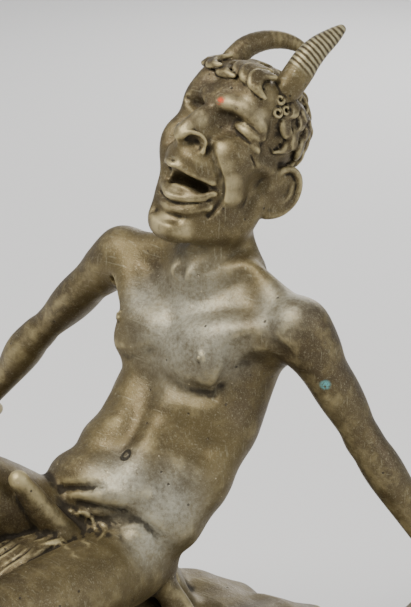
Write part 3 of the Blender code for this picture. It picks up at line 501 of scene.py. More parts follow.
def skull(head):
    """Cranium, a broad boxy forehead, cheekbones, the muzzle and the long jaw."""
    head.ovoid((0, 2.2, 4.0), (5.3, 5.9, 5.7), soft=1)
    head.ovoid((0, 4.4, 4.2), (4.9, 4.7, 4.8), soft=1)
    head.ovoid((0, 3.4, -1.0), (4.7, 4.9, 6.0), soft=1)
    head.ovoid((0, 2.2, -6.4), (4.0, 4.3, 3.6), soft=1)
    head.ovoid((0, 5.8, -3.7), (3.7, 3.4, 2.1), soft=1)
    head.ovoid((0, 4.5, -6.6), (3.5, 3.0, 2.9), soft=1.2)
    head.ovoid((0, 5.5, -10.3), (1.9, 1.6, 1.4), soft=1)
    head.ovoid((-3.8, 7.1, 3.6), (1.9, 2.2, 3.2), soft=1.2)
    head.ovoid((-3.7, 6.6, 6.0), (1.8, 2.0, 2.0), soft=1.2)
    head.stroke([(-4.0, 6.6, 1.2, 1.3), (-4.4, 7.3, -1.2, 1.4), (-4.1, 7.3, -3.0, 1.2),
                 (-3.4, 6.2, -5.2, 1.1), (-2.9, 5.6, -7.4, 1.2), (-2.0, 5.4, -9.6, 1.3)], soft=1.2)
    for half in head.halves():
        half.ovoid((3.0, 6.2, 5.9), (2.1, 2.2, 2.3), soft=1)
        half.stroke([(4.4, 0.4, -3.7, 1.4), (4.1, 1.0, -6.9, 1.4),
                     (2.8, 3.6, -9.2, 1.2), (1.1, 5.4, -10.4, 1.1)], soft=1.6)
        half.ovoid((3.6, 5.7, -0.6), (1.6, 1.9, 1.7), soft=1.4)
        half.stroke([(4.0, 5.6, -0.2, 0.9), (4.6, 3.6, 0.2, 0.8),
                     (4.8, 1.4, 0.1, 0.7)], soft=1.4)
        half.ovoid((6.2, 3.9, 2.2), (0.9, 1.8, 1.7), soft=1.4, carve=True)


def brow_and_eyes(head):
    """Heavy arched brows over two eyes squeezed shut by the laugh."""
    head.ovoid((0, 8.3, 3.9), (1.4, 0.9, 1.1), soft=1)
    for side, half in zip((1, -1), head.halves()):
        if side > 0:
            head.ovoid((3.3, 8.8, 2.2), (2.1, 2.1, 1.5), soft=0.7, carve=True)
            head.ovoid((2.5, 8.7, 1.3), (1.0, 1.3, 1.6), soft=0.7, carve=True)
            head.ovoid((4.7, 7.4, 2.2), (1.1, 1.4, 1.1), soft=0.8, carve=True)
        else:
            head.ovoid((-2.3, 9.3, 2.3), (1.4, 1.5, 0.8), soft=0.7, carve=True)
            head.stroke([(-2.0, 8.6, 2.0, 0.3), (-3.0, 8.9, 2.2, 0.25), (-3.9, 9.0, 2.4, 0.1)],
                        soft=0.4, carve=True)
        half.stroke([(1.0, 8.8, 3.4, 0.5), (2.3, 8.5, 3.95, 0.7),
                     (3.8, 7.5, 4.1, 0.78), (4.9, 6.0, 3.5, 0.7),
                     (5.0, 5.1, 2.6, 0.45)], soft=0.8)
        half.ovoid((3.8, 6.1, 2.2), (1.7, 1.1, 0.85), along=(1, -0.45, -0.1),
                   face=(0, 0, 1), soft=0.35)
        half.ovoid((3.9, 5.6, 1.1), (1.9, 1.1, 0.75), along=(1, -0.45, 0),
                   face=(0, 0, 1), soft=0.6)
        half.stroke([(2.4, 7.4, 2.1, 0.08), (3.2, 7.1, 1.7, 0.17),
                     (4.2, 6.7, 1.5, 0.2), (5.1, 6.1, 1.3, 0.1)],
                    soft=0.2, carve=True)
        for rise in (0.9, -0.3):
            half.stroke([(5.0, 5.7, 0.5 + 0.6 * rise, 0.03),
                         (5.3, 4.8, 0.3 + rise, 0.08),
                         (5.3, 4.0, 1.5 * rise, 0.03)], soft=0.3, carve=True)


def nose(head):
    """A straight nose with a full tip, thin arched wings and wide nostrils."""
    head.stroke([(0, 8.3, 3.6, 0.6), (0, 9.0, 2.2, 0.7), (0, 9.7, 0.8, 0.85),
                 (0, 10.2, -0.4, 1.0), (0, 10.4, -1.2, 0.95)], soft=0.9)
    head.ovoid((0, 8.4, 0.5), (1.6, 1.5, 2.2), soft=1)
    head.ovoid((0, 9.0, -1.2), (2.2, 1.3, 0.9), soft=0.6)
    for half in head.halves():
        half.ovoid((1.35, 9.9, -1.75), (0.75, 1.0, 0.75), along=(0.4, 1, 0),
                   face=(0, 0, 1), soft=0.3, carve=True)
        half.stroke([(0.5, 10.9, -1.6, 0.3), (1.0, 10.7, -0.95, 0.26),
                     (1.75, 9.95, -0.6, 0.22), (2.25, 9.2, -0.9, 0.22),
                     (2.3, 8.8, -1.9, 0.2)], soft=0.3)
        half.stroke([(1.5, 10.1, 0.1, 0.06), (2.4, 9.3, -0.1, 0.12),
                     (2.8, 8.6, -1.1, 0.14), (2.7, 8.5, -2.0, 0.08)],
                    soft=0.3, carve=True)
    head.stroke([(0, 10.9, -1.9, 0.3), (0, 9.9, -2.3, 0.35)], soft=0.4)


def mouth(head):
    """The mouth wide open in a laugh, with its lips, tongue and cheek folds."""
    for half in head.halves():
        half.stroke([(2.9, 6.8, -0.6, 1.0), (3.6, 5.4, -2.2, 1.4),
                     (3.7, 4.0, -4.0, 1.4), (3.6, 3.4, -6.0, 1.2)], soft=1.4)
        half.stroke([(3.1, 6.9, -1.0, 0.9), (4.2, 5.2, -2.5, 1.0),
                     (4.3, 3.7, -4.2, 0.9)], soft=0.8)
    head.stroke([(2.9, 7.7, -0.5, 0.35), (3.9, 6.7, -1.9, 0.5), (4.6, 5.6, -3.3, 0.5),
                 (4.7, 4.7, -5.0, 0.4)], soft=0.6)
    head.stroke([(2.6, 8.3, -1.2, 0.15), (3.6, 7.2, -2.6, 0.28), (4.3, 5.9, -3.9, 0.32),
                 (4.3, 4.9, -5.4, 0.26), (3.7, 4.7, -7.4, 0.15)], soft=0.6, carve=True)
    head.ovoid((0, 8.0, -3.2), (2.8, 2.0, 1.5), soft=1)
    head.stroke([(-2.2, 7.8, -5.1, 0.4), (-1.2, 8.9, -5.6, 0.7), (0, 9.2, -5.9, 0.9),
                 (2.4, 7.8, -5.4, 0.8), (3.4, 6.8, -5.0, 0.6), (4.1, 5.9, -4.8, 0.35)], soft=0.3,
                carve=True)
    head.ovoid((0.9, 7.0, -5.8), (2.7, 2.2, 1.2), along=(1, -0.3, 0.1), face=(0, 0, 1), soft=0.3,
               carve=True)
    head.ovoid((0.9, 5.9, -6.7), (2.7, 1.9, 0.8), along=(1, -0.3, 0.1), face=(0, -0.3, 1), soft=0.5)
    head.stroke([(-2.6, 8.1, -4.5, 0.2), (-1.2, 9.3, -4.55, 0.26), (0, 9.8, -4.8, 0.26),
                 (0.8, 9.5, -4.6, 0.26), (2.5, 8.2, -4.5, 0.24), (3.7, 6.6, -4.35, 0.16)], soft=0.6)
    head.stroke([(-2.6, 7.0, -6.6, 0.25), (-1.2, 7.6, -7.2, 0.3), (0, 7.8, -7.6, 0.34),
                 (1.6, 7.4, -7.3, 0.32), (3.0, 6.5, -6.3, 0.3), (3.8, 5.8, -5.2, 0.22)], soft=0.7)
    head.stroke([(-2.4, 6.8, -7.6, 0.06), (0, 7.4, -8.3, 0.12), (2.2, 6.9, -7.5, 0.12),
                 (3.6, 5.7, -6.0, 0.05)], soft=0.3, carve=True)
    head.stroke([(-2.4, 6.2, -8.1, 0.35), (0, 6.9, -8.8, 0.42), (2.2, 6.3, -8.1, 0.38),
                 (3.6, 5.2, -6.6, 0.3)], soft=0.5)
    head.stroke([(-1.8, 6.7, -9.6, 0.2), (0, 7.2, -9.8, 0.3), (1.6, 6.6, -9.5, 0.2)],
                soft=1.0, carve=True)


def ear(half):
    """A large ear with a rolled rim, a deep shell and a pointed top."""
    half.ovoid((4.5, -0.8, -1.3), (1.4, 2.2, 2.8), soft=0.6)
    half.ovoid((5.4, -1.3, -1.3), (0.6, 1.7, 2.6), along=(1, 0.25, 0),
               face=(0, 0, 1), soft=0.5)
    half.stroke([(5.1, 0.5, -0.6, 0.3), (5.4, 0.2, 0.9, 0.36),
                 (5.8, -0.8, 1.5, 0.4), (6.1, -2.0, 0.8, 0.4),
                 (6.1, -2.8, -1.0, 0.38), (5.8, -2.4, -2.9, 0.38),
                 (5.3, -0.9, -4.1, 0.5), (4.9, 0.0, -3.6, 0.4)], soft=0.35)
    half.ovoid((6.3, -1.0, -0.7), (0.6, 1.0, 1.5), soft=0.4, carve=True)
    half.stroke([(5.7, -1.6, 0.4, 0.22), (5.9, -1.9, -1.2, 0.26),
                 (5.5, -1.1, -2.9, 0.26)], soft=0.25)
    half.ovoid((5.2, 0.5, -1.5), (0.45, 0.4, 0.6), soft=0.35)


PER_RING = 5  # rows of the path from ring to ring
RING_DEPTH = 0.22


def horn(head, side):
    """A ringed horn: the left one stands up, the right one curls in and back."""
    rise = {1: [(3.9, 4.4, 8.4, 1.6), (4.2, 4.5, 10.6, 1.6), (4.3, 4.5, 12.2, 1.5),
                (4.4, 4.1, 13.9, 1.3), (4.6, 3.4, 15.6, 0.95), (4.8, 2.9, 17.0, 0.5)],
            -1: [(-4.5, 5.6, 8.6, 1.35), (-4.5, 4.9, 10.6, 1.25), (-4.1, 3.5, 12.3, 1.12),
                 (-3.3, 1.9, 13.4, 0.95), (-2.4, 0.5, 13.8, 0.75), (-1.5, -0.6, 13.7, 0.45)]}
    path = smooth_path(rise[side], 16)
    phase = 2 * math.pi * np.arange(len(path)) / PER_RING
    path[:, 3] -= RING_DEPTH * (0.5 + 0.5 * np.cos(phase)) ** 2
    head.stroke(path, soft=0.2, per_span=1)


# Curls at the hairline, in head shares (left, front, up), and their sizes
FORELOCKS = (((-2.6, 7.6, 7.0), 1.0), ((-1.2, 7.7, 7.3), 1.15), ((0.3, 7.3, 7.9), 1.0),
             ((1.8, 7.0, 7.5), 1.2), ((3.0, 6.8, 6.8), 1.1), ((0.2, 6.0, 9.0), 1.0),
             ((5.0, 5.6, 7.0), 0.8), ((5.4, 4.0, 8.0), 0.75), ((5.2, 5.2, 5.6), 0.8),
             ((5.3, 4.2, 6.6), 0.8), ((-4.4, 6.8, 7.0), 0.9))
SNAIL_SIZE = 0.85  # up to which a forelock is a snail
CURLS = 150  # spread over a whole ball, before the face, ears and neck are left out


def lock(head, root, way, down, bend, size):
    """A comma of three strands that curls round a drilled hole."""
    side = np.cross(way, down) * bend
    for strand in (-1, 0, 1):
        shift = 0.34 * strand * size
        head.stroke([(*(root - size * down + (shift - 0.1 * size) * side), 0.2 * size),
                     (*(root - 0.2 * size * down + (0.55 * size + shift) * side + 0.3 * way),
                      0.3 * size),
                     (*(root + 0.8 * size * down + (0.25 * size + shift) * side + 0.3 * way),
                      0.28 * size),
                     (*(root + 1.1 * size * down - (0.6 * size - shift) * side), 0.15 * size)],
                    soft=0.14, per_span=4)
    spot = root + 0.4 * size * down - 0.35 * size * side
    head.ovoid(spot + 0.3 * way, (0.18, 0.18, 0.6), along=side, face=way, soft=0.12, carve=True)


def snail(head, root, way, size):
    """A small curl wound round its own drilled middle."""
    first = unit(np.cross(way, (0.3, 1, 0.2)))
    second = np.cross(way, first)
    rows = []
    for i in range(9):
        angle, reach = i * 0.85, size * (1 - 0.085 * i)
        rows.append((*(root + reach * (math.cos(angle) * first + math.sin(angle) * second)
                       + (0.05 * i + 0.15 * size) * way), 0.3 * size))
    head.stroke(rows, soft=0.1, per_span=3)
    head.ovoid(root + 0.3 * way, (0.15, 0.15, 0.5), along=first, face=way, soft=0.1, carve=True)


def hair(head):
    """Short curls over the crown, snails by the horns and waves down the back."""
    golden = math.pi * (3 - math.sqrt(5))
    fall = np.array((0, -0.5, -1.0))
    centre = (0, 2.6, 3.6)
    curls, forelocks = [], []
    for i in range(CURLS):
        rise = 1 - 2 * (i + 0.5) / CURLS
        ring = math.sqrt(1 - rise * rise)
        way = np.array((ring * math.sin(i * golden), ring * math.cos(i * golden), rise))
        on_face = way[1] > 0.2 and way[2] < 0.62
        by_ear = abs(way[0]) > 0.72 and way[2] < 0
        if on_face or by_ear or way[2] < -0.66:
            continue
        down = unit(fall - way * (way @ fall))
        curls.append((head.surface(centre, way, 9), way, down, 1 if i % 2 else -1,
                      1.0 if way[2] > 0.3 else 1.2))
    for spot, size in FORELOCKS:
        way = unit(np.subtract(spot, centre))
        across = unit(np.cross(way, (0.9, -0.3, 0.1)))
        forelocks.append((head.surface(centre, way, 9), way, across, size))
    for root, way, down, bend, size in curls:
        lock(head, root, way, down, bend, size)
    for root, way, across, size in forelocks:
        if size > SNAIL_SIZE:
            lock(head, root + 0.25 * way, way, across, 1, 1.3 * size)
        else:
            snail(head, root, way, 0.8 * size)


def smooth_weights(axis, size, count, start):
    """How much each of a row of knots, one size apart, weighs at each place on an axis."""
    place = (axis - start) / size
    near = np.clip(np.floor(place).astype(int), 0, count - 2)
    share = np.clip(place - near, 0, 1)
    share = share * share * (3 - 2 * share)
    weights = np.zeros((len(axis), count), np.float32)
    weights[np.arange(len(axis)), near] = 1 - share
    weights[np.arange(len(axis)), near + 1] = share
    return weights


def lumps(clay, size, seed):
    """Soft random lumps of about one size over the whole grid, between -1 and 1."""
    size = size * BODY
    counts = [int((axis[-1] - axis[0]) / size) + 3 for axis in clay.axes]
    knots = np.random.default_rng(seed).uniform(-1, 1, counts).astype(np.float32)
    for axis in clay.axes:
        weights = smooth_weights(axis, size, knots.shape[0], axis[0] - size / 2)
        knots = np.tensordot(knots, weights, ([0], [1]))
    return knots


ROCK_SOFT, FACETS = 4.0, 16
# Blocks of rock: middle and radii in body shares, and the seed of their facets
BOULDERS = (
    ((0, -6, -41), (29, 31, 36), 3), ((3, 26, -44), (24, 36, 36), 5),
    ((-26, 58, -58), (25, 30, 24), 8), ((42, -42, -66), (46, 44, 30), 12),
    ((86, -84, -44), (22, 22, 34), 14), ((70, -66, -62), (36, 34, 28), 15),
    ((-52, -40, -56), (46, 44, 38), 17), ((-113, -44, -24), (12, 16, 27), 21),
    ((-100, -49, -52), (23, 26, 34), 24), ((-84, -44, -58), (34, 40, 34), 22),
    ((-62, 14, -68), (46, 48, 22), 23), ((46, 20, -70), (44, 44, 20), 29),
    ((14, 82, -80), (40, 38, 10.5), 31), ((0, -70, -70), (70, 40, 24), 37),
)


def boulder(clay, spot, radii, seed):
    """A block of rock: random flat facets that each just miss an ellipsoid."""
    rng = np.random.default_rng(seed)
    ways = rng.normal(size=(FACETS, 3))
    ways = np.vstack([ways / np.linalg.norm(ways, axis=1)[:, None], ((0, 0, 1.0),)])
    centre = np.array((spot[0], -spot[1], spot[2])) * BODY
    radii = np.array(radii) * BODY
    cuts, x, y, z = clay.window(centre - radii - 6, centre + radii + 6)
    px, py, pz = x - centre[0], y - centre[1], z - centre[2]
    distance = (np.sqrt((px / radii[0]) ** 2 + (py / radii[1]) ** 2 + (pz / radii[2]) ** 2)
                - 1) * radii.min()
    for way in ways:
        reach = np.linalg.norm(way * radii) * (0.78 + 0.14 * rng.random())
        distance = np.maximum(distance, px * way[0] + py * way[1] + pz * way[2] - reach)
    clay.lay(cuts, distance.astype(np.float32), ROCK_SOFT * BODY)


def rock(clay):
    """The seat, the ledges under the feet, a knob under each hand and the ground."""
    for spot, radii, seed in BOULDERS:
        boulder(clay, spot, radii, seed)
    floor = GROUND + CAST_FLOOR
    grain = 2.2 * lumps(clay, 17, 1) + 1.1 * lumps(clay, 8, 2)
    clay.field += np.where(clay.field < 6, grain * BODY, 0)
    cuts, x, y, z = clay.all()
    wide, deep = PLINTH_WIDTH / 2 - MARGIN, PLINTH_DEPTH / 2 - MARGIN
    round_edge = ((x + HIPS_OFFSET[0]) / wide) ** 4 + ((y + HIPS_OFFSET[1]) / deep) ** 4
    wall = (round_edge ** 0.25 - 1) * deep + EDGE_WAVE * (1 + lumps(clay, 20, 4))
    clay.lay(cuts, np.maximum(wall, z - floor).astype(np.float32), 3 * BODY)
    clay.field = np.maximum(clay.field, wall)


LAP_STRANDS, HIP_STRANDS, GROIN_STRANDS = 27, 9, 30


def pelt(body):
    """Long goat's hair in his lap, hanging between the thighs and behind the hip."""
    for i in range(LAP_STRANDS):
        left = -12 + 0.85 * i
        wave = 2.2 * math.sin(i * 2.4)
        body.stroke([(left * 0.5 - 1, 13, 9, 1.1),
                     (left * 0.7 - 3 + wave, 24, 12.5 + wave * 0.5, 1.3),
                     (left * 0.9 - 6 - wave, 36, 10.5 - wave * 0.4, 1.3),
                     (left - 8 + wave, 48, 3, 1.2), (left - 8 - wave, 56, -12, 0.9)],
                    soft=0.5, per_span=5)
    for i in range(HIP_STRANDS):
        angle = math.radians(-80 + 18 * i)
        out, back = math.sin(angle), -math.cos(angle)
        wave = 2 * math.sin(i * 2.1)
        body.stroke([(15 + 5 * out, -8 + 7 * back, -10, 3.5),
                     (16 + 9 * out + wave, -9 + 12 * back, -19, 3),
                     (18 + 15 * out, -10 + 18 * back + wave, -31, 2)], soft=2, per_span=4)
    strands = []
    for i in range(GROIN_STRANDS):
        left = -8 + 0.7 * i
        up = 8 + 4.5 * math.sin(i * 2.4) + (2 if left < 0 else 0)
        bend = 0.8 * math.cos(i * 1.7)
        strand = []
        for run, fall, lean, radius in ((0, 0, 0, 0.4), (3, 0.6, 1, 0.65), (6.2, 2.0, -1, 0.2)):
            start = (left + run, 0, up - fall + bend * lean)
            strand.append((*body.surface(start, (0.1, 1, 0.4), 40), radius))
        strands.append(strand)
    for strand in strands:
        body.stroke(strand, soft=0.8, per_span=3)


def head_axes():
    """The head's left, front and up: thrown back, turned and tilted to his right."""
    axes = np.array(((1, 0, 0), (0, -1, 0), (0, 0, 1.0)))
    axes = axes @ turn((1, 0, 0), -HEAD_PITCH).T
    axes = axes @ turn((0, 0, 1), HEAD_YAW).T
    return axes @ turn(axes[1], HEAD_ROLL).T


def graded(low, high, fine_low, fine_high):
    """Grid lines along one axis: close together where the head is."""
    before = np.arange(low, fine_low, COARSE)
    fine = np.arange(fine_low, fine_high, FINE)
    after = np.arange(fine_high, high + COARSE, COARSE)
    return np.concatenate([before, fine, after]).astype(np.float32)


def cast_clay():
    """The whole bronze on one grid, with the hips' middle at the origin."""
    wide, deep = PLINTH_WIDTH / 2, PLINTH_DEPTH / 2
    axes = [graded(-wide - HIPS_OFFSET[0], wide - HIPS_OFFSET[0], -24, 46),
            graded(-deep - HIPS_OFFSET[1], deep - HIPS_OFFSET[1], 22, 112),
            graded(GROUND - 2 * COARSE, 180, 84, 179)]
    ground, clay = Clay(axes, COARSE), Clay(axes, COARSE)
    rock(ground)
    upright = ((1, 0, 0), (0, -1, 0), (0, 0, 1.0))
    body = Place(clay, np.zeros(3), upright, BODY)
    head = Place(clay, np.array((HEAD_AT[0], -HEAD_AT[1], HEAD_AT[2])) * BODY, head_axes(), HEAD)
    torso(body)
    for side in (1, -1):
        leg(body, side)
        arm(body, side)
    torso_carving(body)
    neck(body)
    skull(head)
    nose(head)
    brow_and_eyes(head)
    mouth(head)
    hair(head)
    for side, half in zip((1, -1), head.halves()):
        ear(half)
        horn(head, side)
    pelt(body)
    loins(body)
    cuts, x, y, z = clay.all()
    clay.lay(cuts, ground.field, 1.5)
    clay.field = np.maximum(clay.field, (GROUND - z).astype(np.float32))
    clay.settle()
    return clay


def relief(points, normals, edges, rounds):
    """How far each point stands proud of the average of its neighbours, in millimetres."""
    count = np.bincount(edges.ravel(), minlength=len(points))[:, None]
    mean = points.copy()
    for _ in range(rounds):
        total = np.zeros_like(mean)
        for i in range(3):
            total[:, i] = (np.bincount(edges[:, 0], mean[edges[:, 1], i], len(points))
                           + np.bincount(edges[:, 1], mean[edges[:, 0], i], len(points)))
        mean = 0.5 * mean + 0.5 * total / count
    return ((points - mean) * normals).sum(1)


def bronze_mesh(clay):
    """Skins the clay, marks what stands proud and what lies deep, and thins the mesh."""
    points, quads = clay.skin()
    mesh = bpy.data.meshes.new("bronze cast")
    shift = np.array((HIPS_OFFSET[0], HIPS_OFFSET[1], PLINTH_HEIGHT + SEAT_GAP - GROUND))
    mesh.from_pydata(((points + shift) * MM), [], quads)
    mesh.update()
    edges = np.empty(len(mesh.edges) * 2, np.int64)
    mesh.edges.foreach_get("vertices", edges)
    normals = np.empty(len(points) * 3)
    mesh.vertex_normals.foreach_get("vector", normals)
    edges, normals = edges.reshape(-1, 2), normals.reshape(-1, 3)
    for name, rounds in RELIEFS:
        layer = mesh.attributes.new(name, "FLOAT", "POINT")
        layer.data.foreach_set("value", relief(points, normals, edges, rounds).astype(np.float32))
    piece = in_scene("bronze_faun", mesh)
    plain = piece.vertex_groups.new(name="plainer")
    plain.add(range(len(points)), 1.0, "REPLACE")
    chin = (HEAD_AT[2] - CHIN_DROP) * BODY
    plain.add(np.flatnonzero(points[:, 2] > chin).tolist(), FACE_THINNING, "REPLACE")
    thin = piece.modifiers.new("Fewer triangles", "DECIMATE")
    thin.ratio = min(1.0, CAST_TRIANGLES / (2 * len(quads)))
    made = bpy.data.meshes.new_from_object(piece.evaluated_get(
        bpy.context.evaluated_depsgraph_get()))
    piece.modifiers.clear()
    piece.vertex_groups.clear()
    piece.data = made
    made.shade_smooth()
    return piece


# Places worn grey, the navel and flecks are in body shares (left, front, up), gilt places and
# the horn's in head shares. Each has its radius in millimetres.
WORN = (((24, -34, 74), 20), ((-8, -32, 84), 16), ((42, -46, 86), 16), ((26, -6, 22), 22),
        ((12, 0, 28), 18), ((24, -2, 12), 16))
GILT = (((2.0, 8.9, 3.9), 4), ((3.6, 8.0, 4.3), 5), ((4.9, 6.6, 3.9), 5), ((3.9, 7.3, 2.5), 3.5),
        ((3.4, 7.7, -0.9), 4), ((4.1, 6.8, -2.0), 5), ((4.8, 5.6, -3.2), 5), ((4.9, 4.8, -4.6), 5),
        ((0.2, 11.2, -0.7), 4.5), ((0.4, 9.9, 0.9), 4), ((0, 7.2, -10.6), 7),
        ((2.4, 5.6, -10.0), 5), ((0.4, 7.9, -7.4), 4), ((2.2, 7.0, -7.0), 3),
        ((0.5, 10.0, -4.5), 3.5))
NAVEL = (8.3, -6.1, 36.3)
RING_STEP = 1.7  # mm from ring to ring up the standing horn
HORN_SPOTS = ((4.25, 4.5, 11.8), (4.3, 4.4, 13.0), (4.4, 4.1, 14.2), (4.6, 3.6, 15.4),
              (4.7, 3.1, 16.6))
FLECKS = (((11.5, -49.6, 151), 2.2, (0.45, 0.06, 0.02)),
          ((58, -50, 62), 2.4, (0.14, 0.42, 0.42)))


class Recipe:
    """Builds a material's nodes from left to right."""

    def __init__(self, name):
        self.material = bpy.data.materials.new(name)
        self.material.use_nodes = True
        self.tree = self.material.node_tree
        self.shader = self.tree.nodes["Principled BSDF"]
        self.place = self.tree.nodes.new("ShaderNodeTexCoord").outputs["Object"]
        self.colour = None

    def feed(self, socket, value):
        """Links another socket to a socket, or sets its value."""
        if isinstance(value, bpy.types.NodeSocket):
            self.tree.links.new(value, socket)
        else:
            socket.default_value = value

    def made(self, **inputs):
        """The material, with its shader fed: an underscore stands for a space in a name."""
        for name, value in inputs.items():
            self.feed(self.shader.inputs[name.replace("_", " ")], value)
        return self.material

    def node(self, kind, inputs, **settings):
        made = self.tree.nodes.new(kind)
        for name, value in settings.items():
            setattr(made, name, value)
        for name, value in inputs.items():
            self.feed(made.inputs[name], value)
        return made

    def noise(self, scale, detail=3.0, roughness=0.55, stretch=None, distortion=0.0):
        """Cloudy noise in object space, in features per metre."""
        place = self.place
        if stretch:
            place = self.node("ShaderNodeMapping", {"Vector": place, "Scale": stretch}).outputs[0]
        return self.node("ShaderNodeTexNoise", {
            "Vector": place, "Scale": scale, "Detail": detail, "Roughness": roughness,
            "Distortion": distortion}).outputs["Fac"]

    def ramp(self, value, low, high, low_out=0.0, high_out=1.0):
        """Spreads a value between two limits, softly."""
        return self.node("ShaderNodeMapRange", {
            "Value": value, "From Min": low, "From Max": high, "To Min": low_out,
            "To Max": high_out}, interpolation_type="SMOOTHSTEP").outputs["Result"]

    def sum(self, kind, a, b):
        made = self.node("ShaderNodeMath", {}, operation=kind)
        for i, value in enumerate((a, b)):
            self.feed(made.inputs[i], value)
        return made.outputs[0]

    def blend(self, share, under, over):
        """Lays one colour over another."""
        made = self.node("ShaderNodeMix", {"Factor": share}, data_type="RGBA")
        for name, value in (("A", under), ("B", over)):
            socket = [s for s in made.inputs if s.name == name and s.type == "RGBA"][0]
            self.feed(socket, (*value, 1) if isinstance(value, tuple) else value)
        return [s for s in made.outputs if s.type == "RGBA"][0]

    def over(self, share, colour):
        """Lays a colour over what the material has so far."""
        self.colour = self.blend(share, self.colour, colour)

    def times(self, a, b):
        return self.sum("MULTIPLY", a, b)

    def near(self, spot, radius, edge=0.5):
        """1 at a spot of the body, falling to 0 at a radius in millimetres."""
        left, front, up = spot
        centre = ((left + HIPS_OFFSET[0]) * MM, (HIPS_OFFSET[1] - front) * MM,
                  (up + PLINTH_HEIGHT + SEAT_GAP - GROUND) * MM)
        away = self.node("ShaderNodeVectorMath", {"Vector": self.place},
                         operation="DISTANCE")
        away.inputs[1].default_value = centre
        return self.ramp(away.outputs["Value"], radius * MM * edge, radius * MM, 1.0, 0.0)


def on_body(spot):
    """A place on the head, in head shares, as a place in body shares."""
    place = np.array(HEAD_AT) * BODY * (1, -1, 1) + head_axes().T @ np.array(spot) * HEAD
    return place * (1, -1, 1) / BODY


